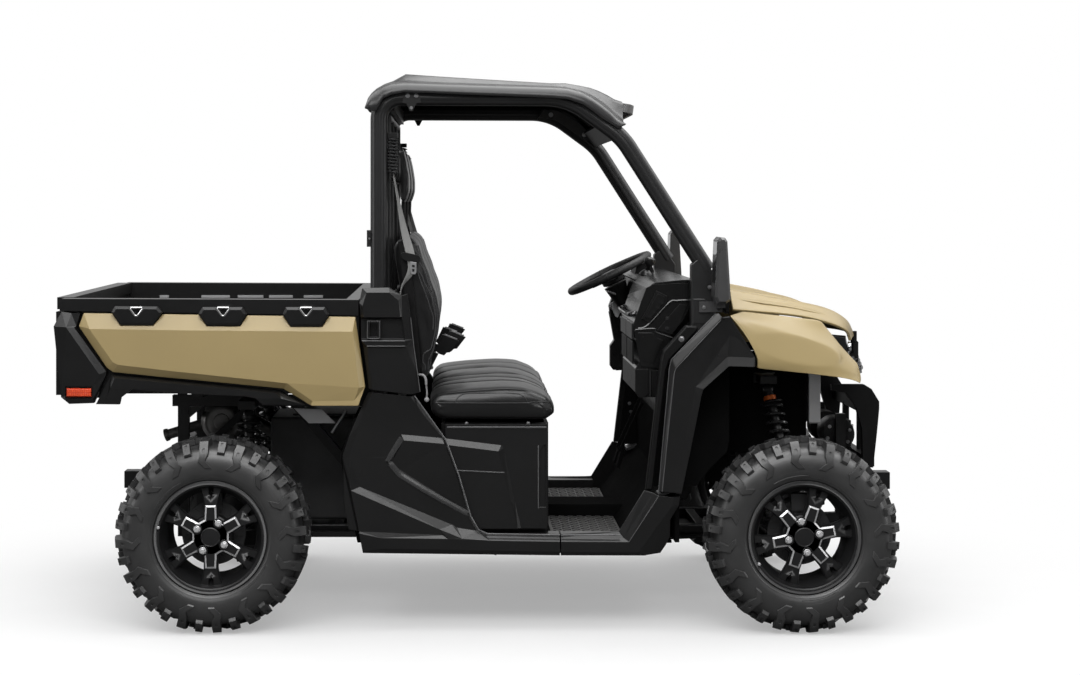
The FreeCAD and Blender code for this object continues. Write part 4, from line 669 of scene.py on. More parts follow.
def puff(name, bm, pressure=3.2, cap=14.0, seam_depth=4.5, flat_below=None, frames=16):
    """cloth under pressure, pinned along its sewn channels, with each point's travel capped"""
    me = bpy.data.meshes.new(name)
    tag = bm.verts.layers.int.get("seam")
    seam = [v.index for v in bm.verts if v[tag]] if tag else []
    bm.verts.index_update()
    seam = [i for i, v in enumerate(bm.verts) if v[tag]] if tag else []
    bm.to_mesh(me)
    bm.free()
    o = bpy.data.objects.new(name, me)
    SCENE.collection.objects.link(o)
    rest = [v.co.copy() for v in me.vertices]
    nr = [v.normal.copy() for v in me.vertices]
    g = o.vertex_groups.new(name="pin")
    g.add(seam, 1.0, "REPLACE")
    if flat_below is not None:
        low = [i for i, v in enumerate(rest) if v.z < flat_below * S]
        g.add(low, 1.0, "REPLACE")
    c = o.modifiers.new("cloth", "CLOTH")
    s = c.settings
    s.quality = 4
    s.mass = 0.3
    s.tension_stiffness = s.compression_stiffness = 14
    s.shear_stiffness = 8
    s.bending_stiffness = 2.2
    s.use_pressure = True
    s.uniform_pressure_force = pressure
    s.vertex_group_mass = "pin"
    s.effector_weights.gravity = 0
    c.collision_settings.use_collision = False
    c.point_cache.frame_start, c.point_cache.frame_end = 1, frames
    for f in range(1, frames + 1):
        SCENE.frame_set(f)
    dg = bpy.context.evaluated_depsgraph_get()
    ev = o.evaluated_get(dg)
    got = [v.co.copy() for v in ev.data.vertices]
    o.modifiers.remove(c)
    SCENE.frame_set(1)
    if len(got) == len(rest):
        for i, v in enumerate(me.vertices):
            d = got[i] - rest[i]
            L = d.length
            if L > cap * S:
                d *= cap * S / L
            v.co = rest[i] + d
    sset = set(seam)
    if sset:
        ca = me.attributes.new("crease_edge", "FLOAT", "EDGE")
        ca.data.foreach_set("value", [0.85 if (e_.vertices[0] in sset and e_.vertices[1] in sset) else 0.0 for e_ in me.edges])
    for i in sset:
        me.vertices[i].co -= nr[i] * (seam_depth * S)
    me.update()
    return o


def finish_soft(o, mats, body, node, levels=1):
    me = o.data
    for mt in mats:
        me.materials.append(MAT[mt])
    s = o.modifiers.new("smooth", "SUBSURF")
    s.levels = s.render_levels = levels
    me.polygons.foreach_set("use_smooth", [True] * len(me.polygons))
    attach(o, body)
    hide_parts(node)
    return o


def lerp_fn(pts):
    def f(t):
        if t <= pts[0][0]:
            return pts[0][1]
        for a, b in zip(pts, pts[1:]):
            if t <= b[0]:
                k = (t - a[0]) / (b[0] - a[0])
                k = k * k * (3 - 2 * k) * 0.45 + k * 0.55
                return a[1] + (b[1] - a[1]) * k
        return pts[-1][1]
    return f


def samples(lo, hi, step, soft=26.0):
    out = [lo, lo + soft * 0.06, lo + soft * 0.22, lo + soft * 0.55]
    t = lo + soft
    while t < hi - soft:
        out.append(t)
        t += step
    return out + [hi - soft, hi - soft * 0.55, hi - soft * 0.22, hi - soft * 0.06, hi]


def rounded(fa, fb, lo, hi, r, side):
    """face function with round ends"""
    def g(t):
        a, b = fa(t), fb(t)
        mid, h = (a + b) / 2, (a - b) / 2
        d = min(t - lo, hi - t)
        if d < r:
            k = max(0.0, 1 - ((r - d) / r) ** 2) ** 0.5
            h2 = h * (0.34 + 0.66 * k)
        else:
            h2 = h
        return mid + h2 if side > 0 else mid - h2
    return g


c_top = lerp_fn([(752, 806), (800, 818), (900, 828), (1010, 835), (1085, 832), (1145, 810), (1180, 782), (1192, 768)])
c_bot = lerp_fn([(752, 742), (800, 730), (1150, 728), (1192, 744)])
CT, CB = rounded(c_top, c_bot, 756, 1186, 30, 1), rounded(c_top, c_bot, 756, 1186, 30, -1)


def same(t, w):
    return t, w


def swapped(t, w):
    return w, t


def rear(z):
    return 706 - 0.165 * (z - 893)


b_front = lerp_fn([(866, 746), (930, 752), (985, 768), (1040, 780), (1085, 783), (1150, 772), (1225, 746), (1300, 718), (1340, 706), (1366, 690)])
BF, BR = rounded(b_front, rear, 870, 1364, 26, 1), rounded(b_front, rear, 870, 1364, 26, -1)
h_front = lerp_fn([(1488, 664), (1530, 676), (1570, 676), (1620, 668), (1676, 656)])
h_rear = lerp_fn([(1488, 650), (1560, 645), (1676, 643)])
HF, HR = rounded(h_front, h_rear, 1486, 1676, 22, 1), rounded(h_front, h_rear, 1486, 1676, 22, -1)

SOFT = {}
sim_step = 15.0
for tag, y0, y1 in (("outer", -687, -222), ("middle", -219, 192)):
    w = y1 - y0
    seams = [y0 + w * k for k in ((0.075, 0.63) if tag == "outer" else (0.30,))]
    bm = pad_mesh(samples(756, 1186, sim_step), CT, CB, y0, y1, 26, same, seams, step=sim_step, crown=6.0)
    SOFT["cushion_" + tag] = puff("seat_cushion_" + tag, bm, 3.2, 8.0, 5.0, flat_below=742)
    a0, a1 = (y0 + 24, y1 - 2) if tag == "outer" else (y0 + 3, y1 - 3)
    w = a1 - a0
    seams = [a0 + w * k for k in (0.10, 0.23, 0.36, 0.50, 0.64, 0.77, 0.90)]
    bm = pad_mesh(samples(870, 1364, sim_step), BF, BR, a0, a1, 34, swapped, seams, step=sim_step * 0.9, crown=3.0)
    SOFT["back_" + tag] = puff("seat_back_" + tag, bm, 3.6, 11.0, 7.0)
bm = pad_mesh(samples(1486, 1676, 11.0, 22.0), HF, HR, -576, -340, 18, swapped, (-548, -368), nring=4, step=12, crown=1.5)
SOFT["head"] = puff("headrest_pad_right", bm, 1.6, 3.0, 2.0)


def copy_soft(src, name, dy=0.0, flip=False):
    me = src.data.copy()
    me.name = name
    for v in me.vertices:
        y = v.co.y + dy * S
        v.co.y = -y if flip else y
    if flip:
        me.flip_normals()
    me.update()
    o = bpy.data.objects.new(name, me)
    SCENE.collection.objects.link(o)
    return o


SOFT["cushion_outer"].name = "seat_cushion_right"
SOFT["back_outer"].name = "seat_back_right"
cl = copy_soft(SOFT["cushion_outer"], "seat_cushion_left", flip=True)
bl = copy_soft(SOFT["back_outer"], "seat_back_left", flip=True)
hm = copy_soft(SOFT["head"], "headrest_pad_middle", dy=458.0)
hl = copy_soft(SOFT["head"], "headrest_pad_left", flip=True)
for o in (SOFT["cushion_outer"], SOFT["cushion_middle"], cl):
    finish_soft(o, ["vinyl"], "chassis", "seat_cushions")
for o in (SOFT["back_outer"], SOFT["back_middle"], bl):
    finish_soft(o, ["vinyl"], "chassis", "seat_backs")
for o in (SOFT["head"], hm, hl):
    finish_soft(o, ["vinyl"], "chassis", "headrests")


def tree_of(o):
    from mathutils.bvhtree import BVHTree
    me = o.data
    return BVHTree.FromPolygons([v.co.copy() for v in me.vertices], [tuple(p.vertices) for p in me.polygons])


def cord_on(tree, pts, direction, lift=0.6, r=1.7):
    """thin welt laid on a surface: pts in mm, cast along direction"""
    out = []
    d = Vector(direction).normalized()
    for p in pts:
        q = P(*p) - d * 0.12
        hit = tree.ray_cast(q, d)
        if hit[0] is not None:
            c = hit[0] - d * (lift * S)
            out.append((c.x / S + X0, c.y / S, c.z / S))
    return out


trim = Mesh()
tr = tree_of(SOFT["cushion_outer"])
# welt round the side of the near cushion and the raised side pad's seam
line = cord_on(tr, [(x, -686, 787 + (3 if x > 1100 else 0)) for x in range(772, 1176, 12)], (0, 1, 0))
if len(line) > 4:
    trim.add(*sweep(curve_pts(line, 2), circle(1.8, 8)))
arc_pts = [(842, -686, 787), (846, -686, 800), (858, -686, 812), (878, -686, 818), (960, -686, 821), (1040, -686, 820), (1066, -686, 816), (1084, -686, 805), (1092, -686, 789)]
line = cord_on(tr, arc_pts, (0, 1, 0), 0.4)
if len(line) > 4:
    trim.add(*sweep(curve_pts(line, 4), circle(1.4, 8)))
line = cord_on(tr, [(1186, y, 786) for y in range(-668, -244, 14)], (-1, 0, 0))
if len(line) > 4:
    trim.add(*sweep(curve_pts(line, 2), circle(1.8, 8)))
trb = tree_of(SOFT["back_outer"])
backline = Mesh()
for dy in (2, 6, 11, 18, 27, 40, 62):
    line = cord_on(trb, [(1300, -662 + dy, z) for z in range(900, 1346, 14)], (-1, 0, 0), -0.3)
    if len(line) > 4:
        backline.add(*sweep(curve_pts(line, 2), circle(2.4, 6)))
trl = trim.mirrored()
trm = Mesh()
line = cord_on(tree_of(SOFT["cushion_middle"]), [(1186, y, 786) for y in range(-196, 197, 14)], (-1, 0, 0))
if len(line) > 4:
    trm.add(*sweep(curve_pts(line, 2), circle(1.8, 8)))
trim.join(trl).join(trm)
obj("seat_piping", trim, ["vinyl_side"], "chassis")
backline.join(Mesh().join(backline).mirrored())
obj("seat_back_cords", backline, ["bellows"], "chassis")

# backing boards and headrest posts
bk = Mesh()
for a0, a1 in ((-664, -228), (-208, 208), (228, 664)):
    pts = [(640, 1350), (662, 1356), (698, 1180), (722, 905), (712, 872), (694, 872)]
    bk.add(*prism(pts, a0, a1))
for c in (-458, 0, 458):
    for s in (-1, 1):
        bk.add(*cylm((650, c + s * 55, 1345), (656, c + s * 55, 1500), 7, n=14))
obj("seat_back_boards", bk, ["plastic_dark"], "chassis", bevel=3.0)


# ---------------------------------------------------------------- belts
def ribbon(pts, dirs, widths, thick=1.8, n=6):
    """flat webbing through pts, with its width direction given at each"""
    pp = curve_pts(pts, n)
    dd = curve_pts(dirs, n)
    ww = curve_pts([(w, 0, 0) for w in widths], n)
    vs, fs = [], []
    k = len(pp)
    for i in range(k):
        t = (pp[min(i + 1, k - 1)] - pp[max(i - 1, 0)]).normalized()
        a = dd[i] - t * dd[i].dot(t)
        a.normalize()
        b = t.cross(a).normalized()
        w = ww[i].x / 2
        for u, v in ((-w, -thick / 2), (-w * 0.5, -thick * 0.62), (0, -thick * 0.66), (w * 0.5, -thick * 0.62), (w, -thick / 2), (w, thick / 2), (w * 0.5, thick * 0.62), (0, thick * 0.66), (-w * 0.5, thick * 0.62), (-w, thick / 2)):
            vs.append(pp[i] + a * u + b * v)
    m = 10
    for i in range(k - 1):
        for j in range(m):
            fs.append((i * m + j, i * m + (j + 1) % m, (i + 1) * m + (j + 1) % m, (i + 1) * m + j))
    fs += [tuple(range(m - 1, -1, -1)), tuple((k - 1) * m + j for j in range(m))]
    return vs, fs


web, hard, bright = Mesh(), Mesh(), Mesh()
# near belt: from the guide, past the seat edge, through the tongue and down to the anchor
pts = [(622, -634, 1600), (640, -644, 1500), (662, -662, 1390), (688, -674, 1286), (684, -676, 1240), (652, -678, 1180), (652, -680, 1080), (676, -680, 960), (714, -678, 884)]
dirs = [(0.15, 1, 0), (0.3, 0.9, 0), (0.7, 0.6, 0), (1, 0.15, 0), (1, 0.4, 0.0), (0.2, 1, 0), (0, 1, 0), (0, 1, 0), (0, 1, 0)]
web.add(*ribbon(pts, dirs, [20, 24, 30, 30, 24, 14, 12, 12, 12]))
tongue = prism([(664, 1292), (668, 1300), (706, 1296), (713, 1290), (712, 1268), (704, 1262), (703, 1243), (698, 1238), (690, 1238), (685, 1243), (684, 1262), (676, 1268), (664, 1272)], -681, -676.5)
hard.add(*prism([(652, 1308), (664, 1312), (716, 1300), (720, 1290), (716, 1276), (668, 1282), (655, 1292)], -684, -672))
bright.add(*prism([(684, 1278), (706, 1276), (705, 1240), (700, 1234), (689, 1235), (685, 1242)], -684.5, -681))
hard.add(*prism([(690, 1268), (700, 1267), (699.5, 1259), (690.5, 1260)], -685.4, -684.2))
hard.add(*prism([(690.5, 1254), (699, 1253), (698.5, 1243), (691, 1244)], -685.4, -684.2))
# bellows over the retractor, behind the headrest
bel = Mesh()
for i in range(11):
    z = 1592 + i * 11.4
    bel.add(*lathe([(-5.0, 8), (-3.4, 16), (0, 22), (3.4, 16), (5.0, 8)], (622, -644, z), (0.12, 0.0, 1), 24))
bel.join(Mesh().join(bel).mirrored())
hard.add(*cylm((618, -634, 1590), (630, -634, 1704), 7, n=14))
hard.add(*boxm(604, 640, -660, -626, 1712, 1728))
m2 = Mesh().join(web).mirrored()
web.join(m2)
hard.join(Mesh().join(hard).mirrored())
bright.join(Mesh().join(bright).mirrored())
# middle belt straps on the seat backs
web.add(*ribbon([(628, 196, 1600), (652, 196, 1440), (684, 210, 1330), (720, 216, 1240)], [(0.2, 1, 0)] * 4, [40, 42, 44, 44]))
# buckles on their stalks, one pair between each two seats
for yb in (-220, 220):
    for k, (dx, dz, dy) in enumerate(((0, 0, -9), (26, 12, 17))):
        pts = [(793 + dx, 997 + dz), (856 + dx, 972 + dz), (822 + dx, 928 + dz), (810 + dx, 927 + dz), (799 + dx, 916 + dz), (778 + dx, 923 + dz), (763 + dx, 937 + dz)]
        cx, cz = 806 + dx, 955 + dz
        pts = [(cx + (a - cx) * 0.96, cz + (b - cz) * 0.96) for a, b in pts]
        hard.add(*prism(pts, yb + dy - 11, yb + dy + 11))
        bright.add(*prism([(800 + dx, 993 + dz), (846 + dx, 975 + dz), (849 + dx, 979 + dz), (803 + dx, 997 + dz)], yb + dy - 8, yb + dy + 8))
        sq = [(797 + dx + a, 957 + dz + b) for a, b in ((-12, -8), (8, -14), (14, 6), (-6, 12))]
        ring = sq + [(797 + dx + a, 957 + dz + b) for a, b in ((-7, -5), (5, -9), (9, 4), (-4, 7))]
        vs = [(x, yb + dy - 11.9, z) for x, z in ring]
        hard.add(vs, [(0, 1, 5, 4), (1, 2, 6, 5), (2, 3, 7, 6), (3, 0, 4, 7)])
        hard.add(*sweep(curve_pts([(734, yb + dy * 0.6, 850), (748, yb + dy * 0.7, 882), (770, yb + dy, 926)], 6), [(-9, -3), (9, -3), (9, 3), (-9, 3)], up=Vector((0, 1, 0))))
# bright anchor hooks at the cushion's rear corner
anchor = Mesh()
for s in (1,):
    anchor.add(*sweep(curve_pts([(716, -672, 884), (730, -676, 882), (738, -678, 868), (739, -678, 850)], 6), circle(4.5, 10)))
    anchor.add(*lathe([(-6, 4), (-5, 7), (0, 9), (5, 8), (8, 5), (9, 0.01)], (741, -676, 797), (0, -1, 0), 24))
    anchor.add(*sweep(curve_pts([(739, -676, 850), (742, -674, 826), (741, -674, 800)], 6), circle(3.0, 10)))
anchor.join(Mesh().join(anchor).mirrored())
o = obj("belt_webbing", web, ["web"], "chassis", angle=60)
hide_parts("seat_belts")
obj("belt_bellows", bel, ["bellows"], "chassis")
obj("belt_buckles", hard, ["plastic"], "chassis", bevel=1.2)
obj("belt_tongues", bright, ["alloy"], "chassis", bevel=0.6)
obj("belt_anchors", anchor, ["grey_panel"], "chassis")


# ---------------------------------------------------------------- rolled lips along the panel edges, coloured much lighter than the panels: painted highlight
lp = Mesh()
LIPS = (
    # side panel: slanted rear edge of the step-in and the sill
    ([(700, -710, 813), (738, -731.5, 762), (808, -731.5, 664), (853, -731.5, 541), (894, -731.5, 400), (921, -731.5, 353), (952, -731.5, 338), (1203, -731.5, 334.5)], 2.8),
    ([(1207, -731.5, 334.5), (1412, -731.5, 334.5)], 2.8),
    # front corner and fender
    ([(1545, -735.5, 470), (1441, -735.5, 311)], 1.6),
    ([(1743, -716, 1098), (1591, -716, 941), (1584, -716, 915), (1546, -716, 484)], 1.8),
    ([(1761, -728, 1079), (1604, -728, 910), (1599, -728, 894), (1557, -728, 484)], 1.6),
    # pillar cover and its latch
    ([(686, -711, 1086), (697, -711, 986), (719, -711, 828)], 1.8),
    ([(537, -738, 1015), (537, -738, 1075), (580, -738, 1075), (580, -738, 1015), (537, -738, 1015)], 1.6),
    ([(518, -734, 1006), (668, -734, 1006)], 1.8),
    ([(536, -734, 988), (668, -734, 988)], 1.4),
)
for pts, r in LIPS:
    path = []
    for a, b in zip(pts, pts[1:]):
        a, b = Vector(a), Vector(b)
        m = max(1, int((b - a).length / 40))
        path += [a + (b - a) * (k / m) for k in range(m)]
    path.append(Vector(pts[-1]))
    lp.add(*sweep(path, circle(r, 8)))
lp.join(lp.mirrored())
obj("panel_lips", lp, ["lip"], "chassis")

# ---------------------------------------------------------------- raised band on the side panel, coloured lighter than the panel: painted highlight
rb = Mesh()
RIDGE = [((884, 404, -713), 0.9), ((800, 449, -716), 1.0), ((718, 496, -717), 1.0), ((646, 541, -714), 1.0), ((606, 588, -717), 1.0), ((658, 668, -719), 1.0)]
path, sc = [], []
for (a, ka), (b, kb) in zip(RIDGE, RIDGE[1:]):
    m = 5
    for k in range(m):
        t = k / m
        path.append(Vector((a[0] + (b[0] - a[0]) * t, a[2] + (b[2] - a[2]) * t, a[1] + (b[1] - a[1]) * t)))
        sc.append(ka + (kb - ka) * t)
path.append(Vector((RIDGE[-1][0][0], RIDGE[-1][0][2], RIDGE[-1][0][1])))
sc.append(1.0)
RSEC = [(12, 0), (5, 2.4), (-3, 4.4), (-7, 4.4), (-9, 0)]
vs, fs = [], []
for i, p in enumerate(path):
    t = (path[min(i + 1, len(path) - 1)] - path[max(i - 1, 0)])
    t.y = 0
    t.normalize()
    nrm = Vector((-t.z, 0, t.x))
    if nrm.z < 0:
        nrm = -nrm
    for a, h in RSEC:
        vs.append(p + nrm * (a * sc[i]) + Vector((0, -h - 0.6 if h else 1.5, 0)))
q = len(RSEC)
for i in range(len(path) - 1):
    for j in range(q):
        k = (j + 1) % q
        fs.append((i * q + j, i * q + k, (i + 1) * q + k, (i + 1) * q + j))
fs.append(tuple(range(q)))
fs.append(tuple(reversed(range((len(path) - 1) * q, len(path) * q))))
rb.add(vs, fs)
rb.join(rb.mirrored())
obj("panel_band_painted_highlight", rb, ["band"], "chassis", angle=50)
flap = Mesh()
for s in (-1, 1):
    y0, y1 = sorted((s * 606, s * 700))
    flap.add(*prism([(1548, 470), (1620, 500), (1620, 488), (1548, 458)], y0, y1))
    y0, y1 = sorted((s * 612, s * 617))
    flap.add(*prism([(1188, 1836), (1196, 1868), (1262, 1862), (1352, 1812), (1404, 1762), (1388, 1738), (1340, 1766), (1262, 1822)], y0, y1))
    y0, y1 = sorted((s * 574, s * 614))
    flap.add(*prism([(1176, 1822), (1180, 1826), (1216, 1868), (1210, 1868)], y0, y1))
obj("frame_plates", flap, ["plate"], "chassis", bevel=1.2)
fb = Mesh()
for s in (-1, 1):
    for x, z in ((1236, 1846), (1374, 1764)):
        fb.join(bolt((x, s * 611, z), (0, -s, 0), 7.0, 6.0))
obj("plate_bolts", fb, ["bolt"], "chassis")

gus = Mesh()
for s in (-1, 1):
    y0, y1 = sorted((s * 228, s * 232))
    gus.add(*prism([(1768, 452), (1850, 440), (1862, 500), (1850, 548), (1776, 540)], y0, y1))
obj("frame_gussets", gus, ["floor"], "chassis", bevel=0.8)

# ---------------------------------------------------------------- roll cage
def arc_pts(pts, bends, n=18):
    pts = [Vector(p) for p in pts]
    out = [pts[0]]
    for i in range(1, len(pts) - 1):
        a, b, c = pts[i - 1], pts[i], pts[i + 1]
        u, w = (a - b).normalized(), (c - b).normalized()
        ang = u.angle(w)
        r = bends[i - 1]
        t = r / math.tan(ang / 2)
        p, q = b + u * t, b + w * t
        cc = b + (u + w).normalized() * (r / math.sin(ang / 2))
        e0, e1 = (p - cc).normalized(), (q - cc).normalized()
        tot = e0.angle(e1)
        ax = e0.cross(e1).normalized()
        for k in range(n + 1):
            th = tot * k / n
            out.append(cc + (e0 * math.cos(th) + ax.cross(e0) * math.sin(th)) * r)
    out.append(pts[-1])
    full = [out[0]]
    for a, b in zip(out, out[1:]):
        d = (b - a).length
        m = max(1, int(d / 60))
        full += [a + (b - a) * (k / m) for k in range(1, m + 1)]
    return full


def tube_section(r):
    """round tube with two shallow pressed grooves on each flank"""
    out = []
    for i in range(72):
        a = 2 * math.pi * i / 72
        d = 0.0
        for g in (-90 - 30, -90 + 8, 90 - 8, 90 + 30):
            da = (math.degrees(a) - g + 180) % 360 - 180
            d += 1.7 * math.exp(-(da / 8.0) ** 2)
        out.append(((r - d) * math.cos(a), (r - d) * math.sin(a)))
    return out


for sgn, side in ((-1, "right"), (1, "left")):
    y = sgn * 650.0
    cm = Mesh()
    cm.add(*sweep(arc_pts([(574, y, 560), (574, y, 1854), (1235, y, 1852), (1425, y, 1712), (1722, y, 1247)], [78, 240, 240]), tube_section(30), up=Vector((0, 1, 0))))
    o = obj("cage_tube_" + side, cm, ["cage"], "chassis", angle=50)
    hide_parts("cage_hoop_" + side)
    cf = Mesh()
    cf.add(*prism([(1664, 1268), (1700, 1300), (1752, 1228), (1748, 1022), (1642, 1022), (1642, 1048), (1664, 1052)], y - 27, y + 27))
    cf.add(*boxm(544, 604, y - 30, y + 30, 540, 575))
    # plate with two bolts over the join of pillar and cowl
    cf.add(*prism([(1668, 1150), (1668, 1060), (1744, 1060), (1744, 1110), (1712, 1150)], y - 29.5, y + 29.5))
    o = obj("cage_foot_" + side, cf, ["cage"], "chassis", bevel=4.0, seg=3)
    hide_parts("cage_hoop_" + side)

# ---------------------------------------------------------------- roof
R_TOP = [(526, 1820), (536, 1852), (548, 1868), (566, 1884), (590, 1897), (620, 1903), (665, 1905.5), (780, 1901), (900, 1897), (1040, 1893), (1180, 1889), (1232, 1885), (1285, 1872), (1320, 1855), (1350, 1836), (1382, 1810), (1408, 1786), (1436, 1761)]
R_LOW = [(526, 1812), (536, 1810), (548, 1807), (566, 1803), (592, 1846), (620, 1859), (665, 1867), (780, 1863), (900, 1858), (1040, 1853), (1180, 1847), (1232, 1843), (1285, 1825), (1320, 1801), (1350, 1777), (1382, 1758), (1408, 1741), (1436, 1757)]
R_DZ = [(526, 2), (548, 4), (600, 7), (628, 12), (646, 30), (665, 33), (1180, 17), (1285, 25), (1350, 44), (1408, 64), (1436, 80)]


def lin_fn(pts):
    def f(t):
        if t <= pts[0][0]:
            return pts[0][1]
        for a, b in zip(pts, pts[1:]):
            if t <= b[0]:
                return a[1] + (b[1] - a[1]) * (t - a[0]) / (b[0] - a[0])
        return pts[-1][1]
    return f


f_dz = lin_fn(R_DZ)
rows = []
for (x, zt), (_, zl) in zip(R_TOP, R_LOW):
    dz = f_dz(x)
    w = 704.0 if x > 600 else 704 - (600 - x) * 0.1
    if x > 1285:
        w = 704 - (x - 1285) * 0.12
    side = [(w - 9, zl), (w - 1.5, zl + 1.5), (w, zl + (zt - zl) * 0.16), (w - 2.5, zl + (zt - zl) * 0.40), (w - 8, zl + (zt - zl) * 0.62), (w - 17, zl + (zt - zl) * 0.81), (w - 30, zl + (zt - zl) * 0.93), (w - 56, zt + 0.5),
            (w - 112, zt + 3 + dz * 0.06), (w - 134, zt + 3 + dz * 0.35), (w - 150, zt + 3 + dz * 0.82), (w - 164, zt + 3 + dz * 0.98), (w - 190, zt + 4 + dz), (w - 300, zt + 6 + dz), (w - 318, zt + 1 + dz), (w - 352, zt + 1 + dz), (w - 370, zt + 6.5 + dz), (0, zt + 8 + dz)]
    inn = [(0, zt + dz), (w - 360, zt - 6 + dz), (w - 190, zt - 4 + dz), (w - 150, zt - 5 + dz * 0.7), (w - 112, zt - 5), (w - 58, zt - 6), (w - 22, zl + (zt - zl) * 0.5), (w - 14, zl)]
    rows.append([(x, -a, z) for a, z in side] + [(x, a, z) for a, z in reversed(side[:-1])] + [(x, a, z) for a, z in reversed(inn)] + [(x, -a, z) for a, z in inn[1:]])
rm = Mesh()
k = len(rows[0])
vs = [p for r_ in rows for p in r_]
fs = [(i * k + j, i * k + (j + 1) % k, (i + 1) * k + (j + 1) % k, (i + 1) * k + j) for i in range(len(rows) - 1) for j in range(k)]
ns, ni = 35, 15
for base in (0, (len(rows) - 1) * k):
    so = [base + j for j in range(ns)]
    si = [base + k - 1 - j for j in range(ni - 0)] if False else None
    # close the end with a strip between the outer and inner outline
    outer = list(range(base, base + ns))
    inner = list(range(base + k - 1, base + ns - 1, -1))
    i = j = 0
    while i < len(outer) - 1 or j < len(inner) - 1:
        if j >= len(inner) - 1 or (i < len(outer) - 1 and i / (len(outer) - 1) <= j / (len(inner) - 1)):
            fs.append((outer[i], outer[i + 1], inner[j]))
            i += 1
        else:
            fs.append((outer[i], inner[j + 1], inner[j]))
            j += 1
rm.add(vs, fs)
o = obj("roof_panel", rm, ["roof"], "chassis", angle=40, weld=True)
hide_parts("roof")
# front visor
vz = Mesh()
out = [(1380, 470, 1848), (1420, 462, 1844), (1454, 446, 1841), (1474, 420, 1839), (1490, 370, 1837), (1497, 300, 1836), (1499, 0, 1836)]
full = [(x, -y, z) for x, y, z in out] + [(x, y, z) for x, y, z in reversed(out[:-1])]
mid = [(1380 + (x - 1380) * 0.5, y * 0.86, z + 5) for x, y, z in full]
low = [(x - 4, y * 0.992, z - (30 if x > 1450 else 22)) for x, y, z in full]
low2 = [(x - 10, y * 0.985, z + 1) for x, y, z in low]
inn = [(1380 + (x - 1380) * 0.94, y * 0.97, z - 6) for x, y, z in full]
n = len(full)
vs = mid + full + low + low2 + inn
fs = []
for a in range(4):
    fs += [(a * n + i, a * n + i + 1, (a + 1) * n + i + 1, (a + 1) * n + i) for i in range(n - 1)]
fs.append(tuple(range(n - 1, -1, -1)))
fs.append(tuple(4 * n + i for i in range(n)))
fs += [(0, n, 2 * n, 3 * n, 4 * n), (n - 1, 5 * n - 1, 4 * n - 1, 3 * n - 1, 2 * n - 1)]
vz.add(vs, fs)
o = obj("roof_visor", vz, ["visor"], "chassis", angle=35)
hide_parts("roof")


# ---------------------------------------------------------------- hood
H_ST = [
    (1822, 1822, (590, 1108), (552, 1136), (512, 1170), (500, 1176), (410, 1177), (392, 1172), (340, 1158), (150, 1154)),
    (2050, 2056, (545, 1086), (508, 1108), (476, 1128), (466, 1132), (388, 1133), (372, 1129), (325, 1116), (150, 1113)),
    (2181, 2200, (505, 1055), (470, 1078), (440, 1096), (430, 1100), (362, 1102), (348, 1098), (305, 1088), (145, 1087)),
    (2246, 2290, (468, 1026), (438, 1044), (408, 1056), (396, 1060), (338, 1061), (326, 1058), (285, 1051), (140, 1052)),
    (2264, 2330, (440, 1000), (420, 1010), (396, 1018), (386, 1021), (326, 1022), (316, 1020), (275, 1015), (135, 1018)),
    (2270, 2342, (432, 986), (414, 990), (392, 994), (382, 995), (322, 995), (312, 994), (272, 990), (132, 992))]


def crom(p0, p1, p2, p3, t):
    return [0.5 * ((2 * b) + (-a + c) * t + (2 * a - 5 * b + 4 * c - d) * t * t + (-a + 3 * b - 3 * c + d) * t ** 3) for a, b, c, d in zip(p0, p1, p2, p3)]


h_rows = []
for row in H_ST:
    xe, xm, prof = row[0], row[1], row[2:]
    half = [(xe + (xm - xe) * (1.0 - (w / prof[0][0]) ** 2), w, z) for w, z in prof]
    half.append((xm, 0.0, prof[-1][1] + 1.5))
    h_rows.append(half)
fine = []
for i in range(len(h_rows) - 1):
    n_ = 7 if i < 2 else 4
    for k in range(n_):
        fine.append([crom(h_rows[max(i - 1, 0)][j], h_rows[i][j], h_rows[i + 1][j], h_rows[min(i + 2, len(h_rows) - 1)][j], k / n_) for j in range(9)])
fine.append(h_rows[-1])
hm_ = Mesh()
vs, fs = [], []
wid = 0
for row in fine:
    # extra points so that the ridges have soft shoulders
    pts = []
    for j in range(8):
        a, b = row[j], row[j + 1]
        for t in ((0.0, 0.25, 0.75) if j in (0, 1, 3, 5, 6, 7) else (0.0, 0.5)):
            pts.append([a[q] + (b[q] - a[q]) * t for q in range(3)])
    pts.append(row[8])
    sm = [list(p) for p in pts]
    for _ in range(1):
        nx = [list(p) for p in sm]
        for q in range(1, len(sm) - 1):
            for c in range(3):
                nx[q][c] = sm[q][c] * 0.5 + (sm[q - 1][c] + sm[q + 1][c]) * 0.25
        sm = nx
    line = [(x, -y, z) for x, y, z in sm] + [(x, y, z) for x, y, z in reversed(sm[:-1])]
    wid = len(line)
    vs += line
for i in range(len(fine) - 1):
    fs += [(i * wid + j, (i + 1) * wid + j, (i + 1) * wid + j + 1, i * wid + j + 1) for j in range(wid - 1)]
hm_.add(vs, fs)
me = bpy.data.meshes.new("hood_shell")
me.from_pydata([((x - X0) * S, y * S, z * S) for x, y, z in hm_.v], [], hm_.f)
bm = bmesh.new()
bm.from_mesh(me)
bmesh.ops.recalc_face_normals(bm, faces=bm.faces)
up = sum(f.normal.z for f in bm.faces)
if up < 0:
    bmesh.ops.reverse_faces(bm, faces=bm.faces)
bm.to_mesh(me)
bm.free()
me.materials.append(MAT["tan"])
me.polygons.foreach_set("use_smooth", [True] * len(me.polygons))
ho = bpy.data.objects.new("hood_shell", me)
SCENE.collection.objects.link(ho)
sd = ho.modifiers.new("shell", "SOLIDIFY")
sd.thickness = 0.010
sd.offset = -1
bv = ho.modifiers.new("edges", "BEVEL")
bv.width = 0.003
bv.segments = 3
bv.limit_method = "ANGLE"
bv.angle_limit = math.radians(50)
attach(ho, "hood")
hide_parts("hood")
hi = Mesh()
